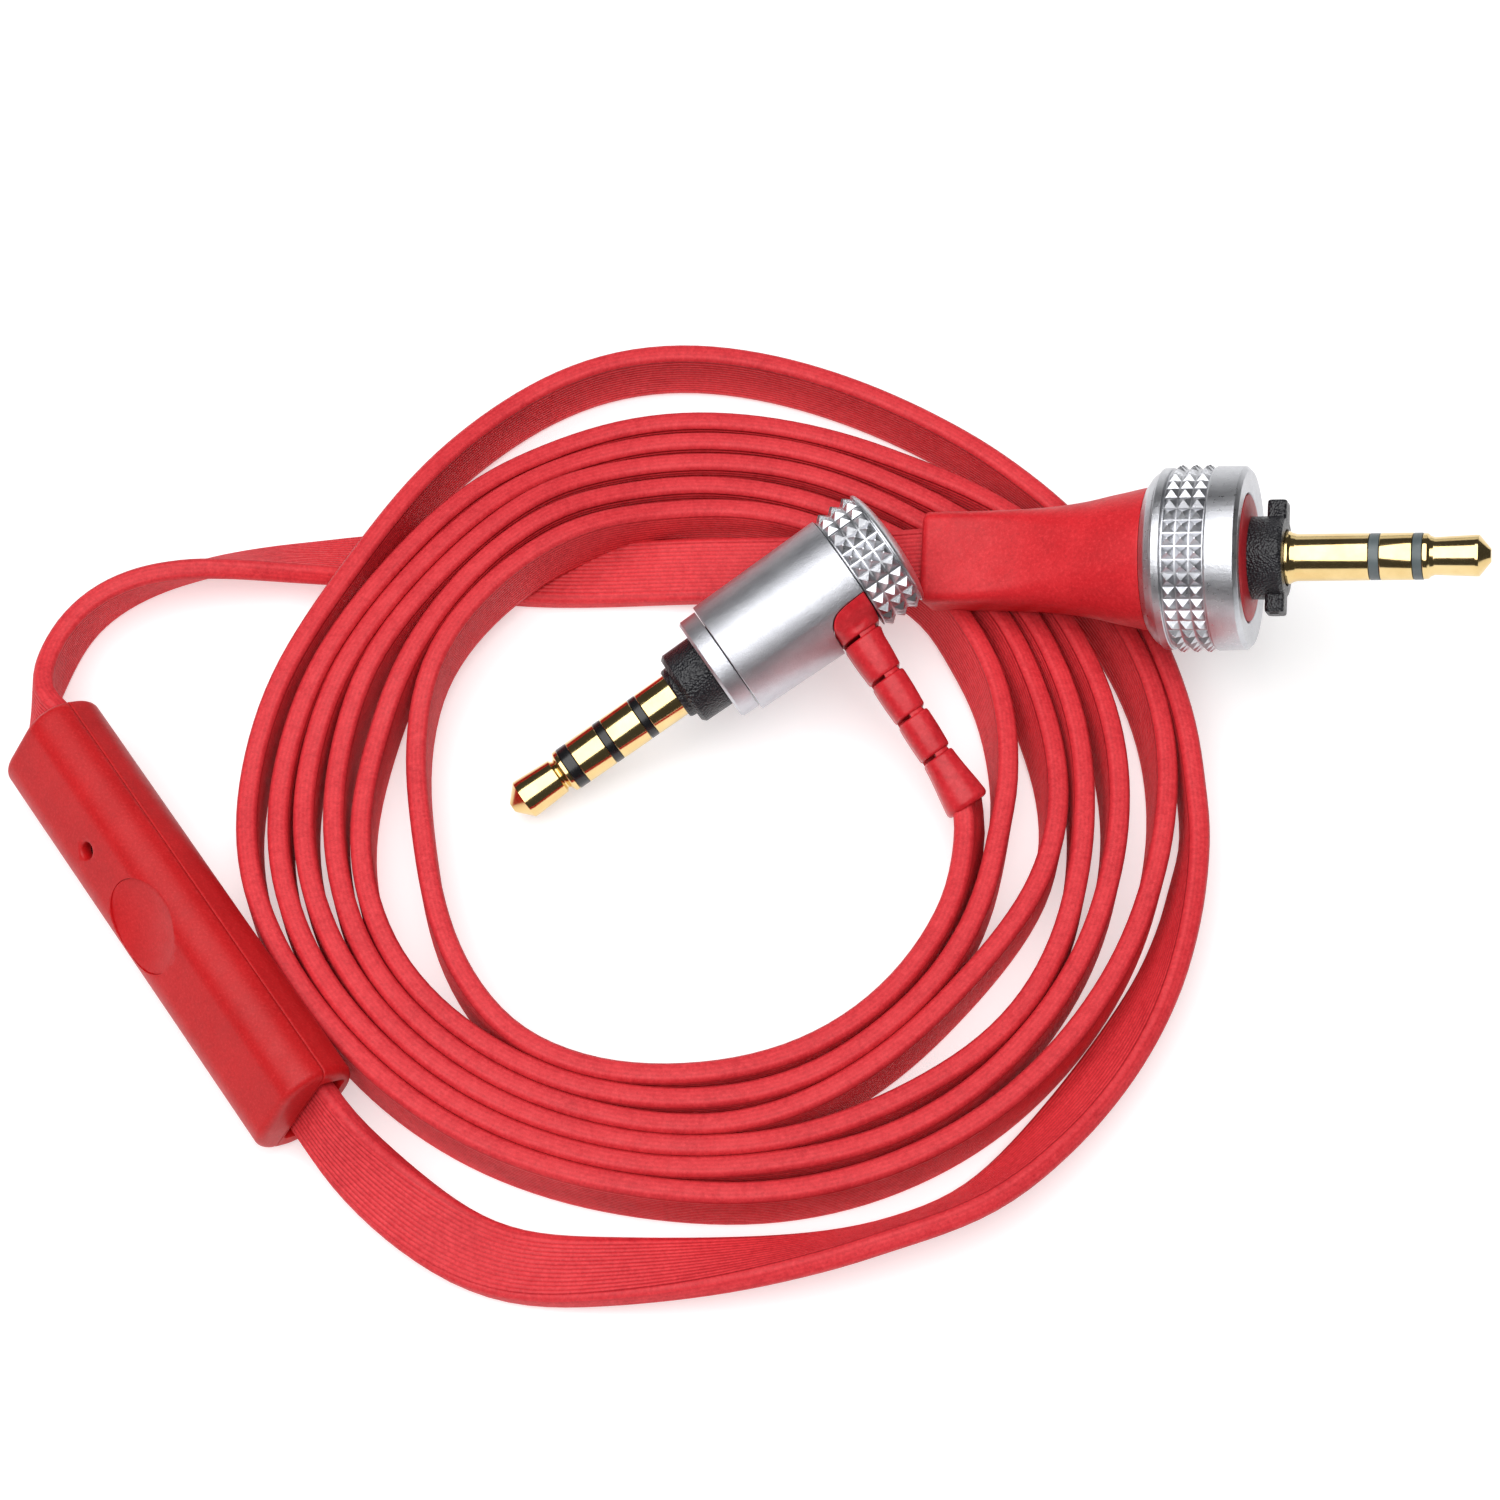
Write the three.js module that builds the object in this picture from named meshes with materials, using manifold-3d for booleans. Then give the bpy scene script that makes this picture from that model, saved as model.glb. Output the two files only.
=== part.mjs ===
// Detachable flat audio cable: an angled four-pole plug with a segmented boot, a coiled flat
// cord with an in-line microphone remote, and a straight three-pole plug with a twist-lock collar.
// Millimetres, +Z up, lying on a table. The origin is at the bottom centre of the box round the
// two plugs and the remote.
import * as THREE from "three";
import { mergeVertices } from "three/addons/utils/BufferGeometryUtils.js";
import Module from "manifold-3d";

const wasm = await Module();
wasm.setup();

// ---- driving dimensions -------------------------------------------------------------------
const ORIGIN = [-0.7743, -8.3121, 0]; // where the part's origin lies in the layout coordinates below

const PIN_R = 1.75; // standard 3.5 mm plug
const CORD_W = 5.2; // flat cord, width
const CORD_T = 1.6; // flat cord, thickness
const COIL_H = 5.0; // height of the coil, whose turns stand on edge
const GAP = 0.32; // clear gap round the cord's own solids
const FIT = 0.05; // clearance between coaxial contacts

// angled plug: axis from the end cap to the tip
const A_CAP = [9.95, 11.012, 11.2];
const A_DIR = [-0.8212, -0.5019, -0.2714];
const A_BOOT_END = [16.63, -6.309, 3.25];
const A_CAP_BACK = -1.2, A_CAP_L = 2.98, A_CAP_R = 4.88; // domed end, joint with the barrel
const A_BARREL_REAR_R = 4.68, A_BARREL_FRONT_R = 4.42;
const A_BARREL_X = [3.08, 14.15];
const A_TRIM_X = [14.25, 15.75];
const A_BASE_R = 2.98;
const A_LIP_R = 2.05;
const A_BASE_FRONT = 18.95;
const A_SLEEVE_END = 21.57;
const A_RING2 = [22.24, 24.76];
const A_RING1 = [25.46, 27.88];
const A_TIP_X = 28.78;
const A_LENGTH = 33.85;
const BOOT_X = 5.08; // where the boot's middle leaves the barrel
const BOOT_HEAD_X = [3.14, 6.7], BOOT_HEAD_Y = 1.6; // the head let into the barrel
const BOOT_HEAD_R = 4.76; // radius of the head's saddle, a little proud of the barrel
const BOOT_T = 2.95, BOOT_H = 6.4; // boot section beyond the barrel
const BOOT_END_T = 3.1, BOOT_END_H = 6.0;

// straight plug: axis from the rear of the housing to the tip
const S_REAR = [13.559, 12.728, 6.8];
const S_DIR = [0.952, -0.1491, 0.2672];
const S_ROLL = 20; // degrees the flat of the housing is turned about the axis
const S_HOUSING_L = 17.25;
const S_REAR_W = 7.12, S_REAR_T = 4.4;
const S_FRONT_R = 5.4;
const S_COLLAR_X = [17.4, 24.9];
const S_KNURL_X = [19.37, 22.4];
const S_COLLAR_R = 6.98;
const S_BASE_R = 3.12;
const S_BASE_FRONT = 27.6;
const S_LUG_SPAN = 8.5, S_LUG_W = 1.9, S_LUG_L = 1.45;
const S_SLEEVE_END = 33.72;
const S_RING = [34.5, 36.88];
const S_TIP_X = 37.6;
const S_LENGTH = 42.45;

// in-line remote: axis from its upper end to its lower end
const R_UPPER = [-52.72, -1.23];
const R_AXIS = [0.5743, -0.8187, 0];
const R_LENGTH = 36.8;
const R_TILT = 52; // degrees its wide side stands up from the table
const R_W = 8.7, R_T = 6.3, R_CORNER = 2.7, R_WALL = 0.9;
const R_CENTRE_Z = 4.257;
const R_SPLIT = 0.62; // the parting plane of the two shells
const R_CORD_Z = -0.75; // where the cords enter, below the middle
const BUTTON_X = 0.1, BUTTON_L = 7.6, BUTTON_W = 5.9;
const BUTTON_TRAVEL = 0.35;
const MIC_X = -7.7, MIC_R = 0.65;

// ---- helpers ------------------------------------------------------------------------------
const V = (x, y, z) => new THREE.Vector3(x, y, z);

// A geometry as a solid: shared vertices merged, empty faces dropped, faces turned outwards.
function solid(geometry, matrix) {
  const g = new THREE.BufferGeometry();
  const plain = geometry.index ? geometry.toNonIndexed() : geometry;
  g.setAttribute("position", plain.getAttribute("position").clone());
  if (matrix) g.applyMatrix4(matrix);
  const m = mergeVertices(g, 1e-4);
  const p = m.attributes.position.array;
  const tri = [];
  let volume = 0;
  const idx = m.index.array;
  for (let i = 0; i < idx.length; i += 3) {
    const [a, b, c] = [idx[i], idx[i + 1], idx[i + 2]];
    if (a === b || b === c || a === c) continue;
    tri.push(a, b, c);
    const A = V(p[3 * a], p[3 * a + 1], p[3 * a + 2]);
    const B = V(p[3 * b], p[3 * b + 1], p[3 * b + 2]);
    const C = V(p[3 * c], p[3 * c + 1], p[3 * c + 2]);
    volume += A.dot(B.cross(C));
  }
  if (volume < 0)
    for (let i = 0; i < tri.length; i += 3) [tri[i + 1], tri[i + 2]] = [tri[i + 2], tri[i + 1]];
  return new wasm.Manifold(
    new wasm.Mesh({ numProp: 3, vertProperties: p, triVerts: new Uint32Array(tri) }),
  );
}

function geometryOf(s) {
  const m = s.getMesh();
  const v = new Float32Array(m.numVert * 3);
  for (let i = 0; i < m.numVert; i++)
    for (let k = 0; k < 3; k++) v[3 * i + k] = m.vertProperties[i * m.numProp + k];
  const g = new THREE.BufferGeometry();
  g.setAttribute("position", new THREE.BufferAttribute(v, 3));
  g.setIndex(new THREE.BufferAttribute(new Uint32Array(m.triVerts), 1));
  g.computeVertexNormals();
  return g;
}

// A turned part about +X from a profile of [x, radius] pairs. A hollow part gives a closed profile.
function turned(profile, segments, closed = false) {
  const pts = profile.map(([x, r]) => new THREE.Vector2(r, x));
  if (closed) pts.push(pts[0].clone());
  const g = new THREE.LatheGeometry(pts, segments);
  g.rotateZ(-Math.PI / 2);
  return solid(g);
}
const rod = (x0, x1, r, n = 20) => turned([[x0, 0], [x0, r], [x1, r], [x1, 0]], n);
const tubeX = (x0, x1, inner, outer, n = 20) =>
  turned([[x0, inner], [x0, outer], [x1, outer], [x1, inner]], n, true);
const box = (x0, x1, y0, y1, z0, z1) => {
  const g = new THREE.BoxGeometry(x1 - x0, y1 - y0, z1 - z0);
  g.translate((x0 + x1) / 2, (y0 + y1) / 2, (z0 + z1) / 2);
  return solid(g);
};

// A rounded rectangle as a list of points, half sizes a (first axis) and b, corner radius r.
function roundRect(a, b, r, per = 3) {
  const out = [];
  r = Math.min(r, a, b);
  for (let q = 0; q < 4; q++) {
    const cx = (q === 0 || q === 3 ? 1 : -1) * (a - r);
    const cy = (q < 2 ? 1 : -1) * (b - r);
    for (let i = 0; i <= per; i++) {
      const t = (Math.PI / 2) * (q + i / per);
      out.push([cx + r * Math.cos(t), cy + r * Math.sin(t)]);
    }
  }
  return out;
}

// A loft along +X: rings of [y, z] points with the same count at each x.
function loft(rings) {
  const n = rings[0].pts.length, pos = [], idx = [];
  for (const ring of rings) for (const [y, z] of ring.pts) pos.push(ring.x, y, z);
  for (let i = 0; i < rings.length - 1; i++)
    for (let j = 0; j < n; j++) {
      const a = i * n + j, b = i * n + ((j + 1) % n), c = a + n, d = b + n;
      idx.push(a, b, d, a, d, c);
    }
  const cap = (at, flip) => {
    const shape = rings[at].pts.map(([y, z]) => new THREE.Vector2(y, z));
    for (const [a, b, c] of THREE.ShapeUtils.triangulateShape(shape, [])) {
      const o = at * n;
      if (flip) idx.push(o + a, o + c, o + b);
      else idx.push(o + a, o + b, o + c);
    }
  };
  cap(0, true);
  cap(rings.length - 1, false);
  const g = new THREE.BufferGeometry();
  g.setAttribute("position", new THREE.BufferAttribute(new Float32Array(pos), 3));
  g.setIndex(idx);
  return solid(g);
}

// A bar of rounded section along +X with eased ends.
function bar(x0, x1, a, b, r, ease, per = 3) {
  const s = (k) => roundRect(a - k, b - k, Math.max(r - k, 0.2), per);
  return loft([
    { x: x0, pts: s(ease) },
    { x: x0 + ease, pts: s(0) },
    { x: x1 - ease, pts: s(0) },
    { x: x1, pts: s(ease) },
  ]);
}

// The flat cord as a tube along points [x, y, z, lean], lean in degrees to the left of the run.
function flatTube(points, width, thick) {
  const at = points.map((p) => V(p[0], p[1], p[2]));
  const curve = new THREE.CatmullRomCurve3(at, false, "centripetal");
  const steps = points.length - 1;
  const place = (i) => at[i];
  curve.getPoint = (t, target = V(0, 0, 0)) => target.copy(place(Math.round(t * steps)));
  curve.getPointAt = curve.getPoint;
  curve.computeFrenetFrames = () => {
    const tangents = [], normals = [], binormals = [];
    for (let i = 0; i <= steps; i++) {
      const t = place(Math.min(i + 1, steps)).clone().sub(place(Math.max(i - 1, 0))).normalize();
      const left = V(-t.y, t.x, 0).normalize();
      const up = left.clone().cross(t).negate().normalize();
      if (up.z < 0) up.negate();
      const a = (points[i][3] * Math.PI) / 180;
      const wide = up.clone().multiplyScalar(Math.cos(a)).addScaledVector(left, Math.sin(a)).normalize();
      tangents.push(t);
      normals.push(wide.clone().cross(t).normalize());
      binormals.push(wide);
    }
    return { tangents, normals, binormals };
  };
  const pts = roundRect(thick / 2, width / 2, thick * 0.4, 1).map(([x, y]) => new THREE.Vector2(x, y));
  return solid(
    new THREE.ExtrudeGeometry(new THREE.Shape(pts), { steps, bevelEnabled: false, extrudePath: curve }),
  );
}

const root = new THREE.Group();
root.position.set(-ORIGIN[0], -ORIGIN[1], -ORIGIN[2]);

const FINISH = {
  red_rubber: [0xdc303a, 0.62, 0],
  red_gloss: [0xc81a20, 0.35, 0],
  silver: [0xc9cacc, 0.32, 0.9],
  gold: [0xe2b56a, 0.2, 1],
  black: [0x17181c, 0.4, 0],
  grey: [0x5a6466, 0.5, 0],
  white: [0xe7e4da, 0.55, 0],
  green: [0x1f5c38, 0.5, 0],
  copper: [0xb87b4a, 0.4, 1],
  steel: [0xa9abad, 0.35, 1],
};
function place(group, name, s, finish) {
  const [color, roughness, metalness] = FINISH[finish];
  const mesh = new THREE.Mesh(
    geometryOf(s),
    new THREE.MeshStandardMaterial({ color, roughness, metalness }),
  );
  mesh.name = name;
  group.add(mesh);
  return mesh;
}
function frameGroup(origin, x, z) {
  const X = V(...x).normalize();
  const Z = z.clone().addScaledVector(X, -z.dot(X)).normalize();
  const Y = Z.clone().cross(X);
  const m = new THREE.Matrix4().makeBasis(X, Y, Z).setPosition(...origin);
  const g = new THREE.Group();
  g.matrixAutoUpdate = false;
  g.matrix.copy(m);
  root.add(g);
  return g;
}

// ---- angled plug --------------------------------------------------------------------------
const aDir = V(...A_DIR).normalize();
const bootAt = V(...A_CAP).addScaledVector(aDir, BOOT_X);
const bootRun = V(...A_BOOT_END).sub(bootAt);
const bootDir = bootRun.clone().normalize();
const BOOT_REACH = bootRun.length();
// local frame: X along the plug, Y along the boot
const angled = frameGroup(A_CAP, A_DIR, aDir.clone().cross(bootDir));
const N = 28;

place(angled, "angled_end_cap",
  turned([[A_CAP_BACK, 0], [A_CAP_BACK + 0.1, 2.0], [A_CAP_BACK + 0.35, 3.4], [A_CAP_BACK + 0.65, 4.3],
    [A_CAP_BACK + 0.95, 4.66], [0, A_CAP_R], [A_CAP_L - 0.1, A_CAP_R], [A_CAP_L, A_CAP_R - 0.1], [A_CAP_L, 3.95],
    [0.5, 3.95], [0.5, 0]], N), "silver");

const bootSlot = box(A_BARREL_X[0] - 1, BOOT_HEAD_X[1] + 0.06, BOOT_HEAD_Y - 0.08, 7, -5.2, 5.2);
place(angled, "angled_barrel",
  turned([[A_BARREL_X[0], 3.95], [A_BARREL_X[0], A_BARREL_REAR_R], [A_BARREL_X[1], A_BARREL_FRONT_R],
    [A_BARREL_X[1], 3.1], [13.4, 3.1], [13.4, 3.75]], N, true).subtract(bootSlot), "silver");

place(angled, "angled_trim_ring",
  turned([[A_TRIM_X[0], 3.1], [A_TRIM_X[0], 4.24], [A_TRIM_X[1] - 0.15, 4.2], [A_TRIM_X[1], 4.05], [A_TRIM_X[1], 3.1]], N, true), "silver");

place(angled, "angled_base",
  turned([[13.5, 1.82], [13.5, A_BASE_R], [18.2, A_BASE_R], [18.4, A_BASE_R - 0.25], [18.45, A_LIP_R],
    [A_BASE_FRONT, A_LIP_R], [A_BASE_FRONT, 1.82]], 20, true), "black");

place(angled, "angled_contact_mould",
  turned([[9.9, 1.75], [9.9, 3.3], [13.2, 3.3], [13.2, 1.75]], 20, true), "white");

place(angled, "angled_sleeve",
  turned([[13.0, 1.3], [13.0, 1.6], [18.6, 1.6], [18.6, PIN_R], [A_SLEEVE_END, PIN_R], [A_SLEEVE_END, 1.3]], 20, true), "gold");
place(angled, "angled_ring_2",
  turned([[12.0, 0.95], [12.0, 1.2], [A_RING2[0], 1.2], [A_RING2[0], PIN_R], [A_RING2[1], PIN_R], [A_RING2[1], 0.95]], 20, true), "gold");
place(angled, "angled_ring_1",
  turned([[11.0, 0.6], [11.0, 0.85], [A_RING1[0], 0.85], [A_RING1[0], PIN_R], [A_RING1[1], PIN_R], [A_RING1[1], 0.6]], 20, true), "gold");
place(angled, "angled_tip",
  turned([[9.95, 0], [9.95, 0.5], [A_TIP_X, 0.5], [A_TIP_X, PIN_R - 0.05], [29.15, PIN_R - 0.08], [29.45, 1.15],
    [29.7, 1.4], [32.7, 1.57], [A_LENGTH, 0.5], [A_LENGTH, 0]], 20), "gold");
place(angled, "angled_insulator_1", tubeX(A_SLEEVE_END + 0.03, A_RING2[0] - 0.03, 1.25, PIN_R - 0.04), "black");
place(angled, "angled_insulator_2", tubeX(A_RING2[1] + 0.03, A_RING1[0] - 0.03, 0.9, PIN_R - 0.04), "black");
place(angled, "angled_insulator_3", tubeX(A_RING1[1] + 0.03, A_TIP_X - 0.03, 0.55, PIN_R - 0.04), "black");
place(angled, "angled_terminal_board", box(7.0, 9.6, -2.3, 2.3, -0.4, 0.4), "green");
place(angled, "angled_cord_crimp", box(3.9, 6.2, -1.9, 0.9, -1.9, 1.9), "steel");

// boot: a tapering flat bar from inside the barrel to its end
{
  // sections across the boot: [y, first x, last x, height, corner]
  const ring = (y, a, b, h, r) => ({
    x: y, pts: roundRect((b - a) / 2, h / 2, r, 2).map(([u, w]) => [u - ((a + b) / 2 - BOOT_X), w]),
  });
  const saddle = (y) => 2 * Math.sqrt(BOOT_HEAD_R ** 2 - y * y);
  const [h0, h1] = BOOT_HEAD_X;
  const mid = (t) => [BOOT_X - t / 2, BOOT_X + t / 2];
  const s = loft([
    ring(BOOT_HEAD_Y, h0 + 0.1, h1 - 0.5, saddle(BOOT_HEAD_Y) - 0.06, 0.3),
    ring(2.3, h0, h1 - 0.12, saddle(2.3), 0.4),
    ring(3.0, h0, h1, saddle(3.0), 0.5),
    ring(3.5, h0 + 0.04, h1, BOOT_H + 0.1, 0.7),
    ring(4.3, h0 + 0.14, h1 - 0.04, BOOT_H, 0.9),
    ring(5.4, ...mid(BOOT_T + 0.1), BOOT_H, 1.0),
    ring(BOOT_REACH - 0.5, ...mid(BOOT_END_T), BOOT_END_H, 1.1),
    ring(BOOT_REACH, ...mid(BOOT_END_T - 0.7), BOOT_END_H - 0.7, 0.8),
  ]);
  // turn the loft's X to the boot's direction (local +Y), keeping its thickness along the plug
  const g = geometryOf(s);
  g.applyMatrix4(new THREE.Matrix4().makeBasis(V(0, 1, 0), V(-1, 0, 0), V(0, 0, 1)).setPosition(BOOT_X, 0, 0));
  place(angled, "angled_boot", solid(g), "red_rubber");
}

// ---- straight plug ------------------------------------------------------------------------
const sDir = V(...S_DIR).normalize();
const sUp = V(0, 0, 1).addScaledVector(sDir, -sDir.z).normalize();
const sSide = sUp.clone().cross(sDir);
const roll = (S_ROLL * Math.PI) / 180;
const straight = frameGroup(S_REAR, S_DIR,
  sUp.clone().multiplyScalar(Math.cos(roll)).addScaledVector(sSide, -Math.sin(roll)));

{
  // outside: rounded rectangle at the rear, round at the collar
  const at = (x, w, t, r) => ({ x, pts: roundRect(w / 2, t / 2, r, 5) });
  const outer = loft([
    at(0, S_REAR_W - 0.5, S_REAR_T - 0.5, 0.9),
    at(0.3, S_REAR_W, S_REAR_T, 1.2),
    at(5.5, 7.26, 4.8, 1.9),
    at(9.5, 7.7, 6.2, 3.0),
    at(13, 8.8, 8.2, 4.1),
    at(S_HOUSING_L, 2 * S_FRONT_R, 2 * S_FRONT_R, S_FRONT_R),
  ]);
  const bore = turned([[10.2, 0], [10.2, 2.6], [13.2, 3.5], [S_HOUSING_L + 1, 4.3], [S_HOUSING_L + 1, 0]], 20);
  const chamber = box(1.6, 10.6, -2.9, 2.9, -1.35, 1.35);
  const slot = box(-1, 2, -CORD_W / 2 - 0.2, CORD_W / 2 + 0.2, -CORD_T / 2 - 0.15, CORD_T / 2 + 0.15);
  place(straight, "straight_housing", outer.subtract(bore.add(chamber)).subtract(slot), "red_gloss");
}
place(straight, "straight_cord_crimp", box(2.2, 4.6, -2.6, 2.6, -1.1, 1.1), "steel");
place(straight, "straight_terminal_board", box(5.6, 9.8, -2.2, 2.2, -0.4, 0.4), "green");
// core: fixed in the housing, its neck carries the collar
place(straight, "straight_core",
  turned([[13.4, 1.75], [13.4, 3.3], [16.8, 3.92], [17.5, 3.55], [22.95, 3.55], [22.95, 1.75]], 20, true), "white");
place(straight, "collar_clip", tubeX(22.1, 22.8, 3.62, 4.6), "steel");
place(straight, "lock_collar",
  turned([[S_COLLAR_X[0], 3.85], [S_COLLAR_X[0], 5.5], [17.8, 6.2], [18.4, 6.68], [S_KNURL_X[0] - 0.1, 6.72],
    [S_KNURL_X[0], S_COLLAR_R], [S_KNURL_X[1], S_COLLAR_R], [S_KNURL_X[1] + 0.1, 6.87], [24.6, 6.86],
    [S_COLLAR_X[1], 6.6], [S_COLLAR_X[1], 4.8], [21.9, 4.8], [21.9, 3.85]], 32, true), "silver");
place(straight, "collar_disc",
  turned([[24.08, 2.6], [24.08, 4.72], [24.45, 4.72], [24.75, 3.3], [24.75, 2.6]], 28, true), "red_gloss");
{
  const body = turned([[23.15, 1.88], [23.15, 4.4], [23.98, 4.4], [23.98, 2.5], [24.85, 2.5], [24.85, S_BASE_R],
    [S_BASE_FRONT, S_BASE_R], [S_BASE_FRONT, 2.08], [26.8, 2.08], [26.8, 1.88]], 20, true);
  const lug = (k) => box(S_BASE_FRONT - S_LUG_L, S_BASE_FRONT - 0.05,
    k > 0 ? 2.9 : -S_LUG_SPAN / 2, k > 0 ? S_LUG_SPAN / 2 : -2.9, -S_LUG_W / 2, S_LUG_W / 2);
  place(straight, "bayonet_base", body.add(lug(1)).add(lug(-1)), "black");
}
place(straight, "straight_sleeve",
  turned([[13.0, 1.25], [13.0, 1.65], [27.0, 1.65], [27.0, 2.0], [27.95, 2.0], [28.35, PIN_R],
    [S_SLEEVE_END, PIN_R], [S_SLEEVE_END, 1.25]], 20, true), "gold");
place(straight, "straight_ring",
  turned([[12.0, 0.8], [12.0, 1.15], [S_RING[0], 1.15], [S_RING[0], PIN_R], [S_RING[1], PIN_R], [S_RING[1], 0.8]], 20, true), "gold");
place(straight, "straight_tip",
  turned([[10.9, 0], [10.9, 0.7], [S_TIP_X, 0.7], [S_TIP_X, PIN_R - 0.05], [37.95, PIN_R - 0.08], [38.4, 1.42],
    [41.6, 1.52], [S_LENGTH, 0.56], [S_LENGTH, 0]], 20), "gold");
place(straight, "straight_insulator_1", tubeX(S_SLEEVE_END + 0.03, S_RING[0] - 0.03, 1.2, PIN_R - 0.04), "grey");
place(straight, "straight_insulator_2", tubeX(S_RING[1] + 0.03, S_TIP_X - 0.03, 0.75, PIN_R - 0.04), "grey");

// ---- in-line remote -----------------------------------------------------------------------
const tilt = (R_TILT * Math.PI) / 180;
const rAxis = V(...R_AXIS).normalize();
const rSide = V(-rAxis.y, rAxis.x, 0); // towards the coil
const rFace = rSide.clone().multiplyScalar(-Math.sin(tilt)).add(V(0, 0, Math.cos(tilt)));
const rMid = V(R_UPPER[0], R_UPPER[1], R_CENTRE_Z).addScaledVector(rAxis, R_LENGTH / 2);
// local frame: X from the upper to the lower end, Y across the wide side, Z out of the front face
const remote = frameGroup([rMid.x, rMid.y, rMid.z], R_AXIS, rFace);

{
  const H = R_LENGTH / 2;
  const outer = bar(-H, H, R_W / 2, R_T / 2, R_CORNER, 0.6, 4);
  const cavity = bar(-H + 1.3, H - 1.3, R_W / 2 - R_WALL, R_T / 2 - R_WALL, R_CORNER - R_WALL, 0.4, 3);
  const slotY = CORD_W / 2 + 0.35, slotZ = CORD_T / 2 + 0.3;
  const slots = box(-H - 1, -H + 2, -slotY, slotY, R_CORD_Z - slotZ, R_CORD_Z + slotZ)
    .add(box(H - 2, H + 1, -slotY, slotY, R_CORD_Z - slotZ, R_CORD_Z + slotZ));
  const shell = outer.subtract(cavity).subtract(slots);
  const big = 40;
  const micHole = rod(0, 3, MIC_R, 12);
  const micG = geometryOf(micHole);
  micG.applyMatrix4(new THREE.Matrix4().makeBasis(V(0, 0, 1), V(1, 0, 0), V(0, 1, 0)).setPosition(MIC_X, 0, R_T / 2 - 2));
  const oval = (l, w, z0, z1) => {
    const pts = roundRect(l / 2, w / 2, w / 2, 5).map(([x, y]) => new THREE.Vector2(x, y));
    const g = new THREE.ExtrudeGeometry(new THREE.Shape(pts), { depth: z1 - z0, bevelEnabled: false, steps: 1 });
    g.translate(BUTTON_X, 0, z0);
    return solid(g);
  };
  const front = shell.intersect(box(-big, big, -big, big, R_SPLIT + 0.03, big))
    .subtract(solid(micG)).subtract(oval(BUTTON_L + 0.5, BUTTON_W + 0.5, 1, 6));
  const back = shell.intersect(box(-big, big, -big, big, -big, R_SPLIT - 0.03));
  place(remote, "remote_front_shell", front, "red_gloss");
  place(remote, "remote_back_shell", back, "red_gloss");
  const top = R_T / 2 - 0.55;
  place(remote, "remote_button",
    oval(BUTTON_L, BUTTON_W, 1.75, top), "red_gloss");
  place(remote, "remote_board", box(-13.2, 8.5, -2.9, 2.9, -0.55, 0.0), "green");
  const up = (x0, r0, z0, z1, n = 16) => {
    const g = new THREE.CylinderGeometry(r0, r0, z1 - z0, n);
    g.rotateX(Math.PI / 2);
    g.translate(x0, 0, (z0 + z1) / 2);
    return solid(g);
  };
  place(remote, "switch_body", box(BUTTON_X - 1.5, BUTTON_X + 1.5, -1.5, 1.5, 0.04, 0.85), "steel");
  place(remote, "switch_plunger", up(BUTTON_X, 0.8, 1.3, 1.7), "black");
  place(remote, "mic_capsule", up(MIC_X, 1.5, 0.05, 1.35), "steel");
  place(remote, "mic_gasket",
    up(MIC_X, 1.5, 1.4, 2.15).subtract(up(MIC_X, 0.55, 1.0, 3.0, 12)), "black");
  place(remote, "board_capacitor", box(4.6, 6.4, -1.6, -0.6, 0.04, 0.7), "copper");
  place(remote, "board_resistor", box(4.6, 6.2, 0.7, 1.5, 0.04, 0.5), "black");
  place(remote, "cord_anchor_upper", box(-H + 1.6, -14.0, -2.85, 2.85, R_CORD_Z - 0.9, R_CORD_Z + 0.9), "steel");
  place(remote, "cord_anchor_lower", box(11.5, H - 1.6, -2.85, 2.85, R_CORD_Z - 0.9, R_CORD_Z + 0.9), "steel");
}

// ---- cord ---------------------------------------------------------------------------------
// outline of the coil of six turns, outside then inside
const COIL_OUTER = [
  [31.27, -9.85],
  [29.89, -15.09],
  [27.78, -20.04],
  [25.01, -24.55],
  [21.70, -28.56],
  [17.83, -32.04],
  [13.46, -34.85],
  [8.67, -36.91],
  [3.65, -38.15],
  [-1.42, -38.54],
  [-6.49, -38.20],
  [-11.51, -37.34],
  [-16.46, -35.83],
  [-21.16, -33.61],
  [-25.42, -30.74],
  [-29.22, -27.23],
  [-32.57, -23.19],
  [-35.43, -18.53],
  [-37.43, -13.38],
  [-38.21, -8.05],
  [-37.79, -2.76],
  [-36.44, 2.18],
  [-34.43, 6.81],
  [-32.04, 11.30],
  [-29.36, 15.93],
  [-26.23, 20.91],
  [-22.37, 25.99],
  [-17.53, 30.29],
  [-11.89, 33.14],
  [-5.82, 34.16],
  [0.44, 33.52],
  [6.52, 31.67],
  [12.24, 28.97],
  [17.44, 25.70],
  [22.03, 21.92],
  [25.98, 17.57],
  [29.19, 12.72],
  [31.63, 7.39],
  [33.23, 1.76],
  [33.96, -3.91],
];
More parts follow.
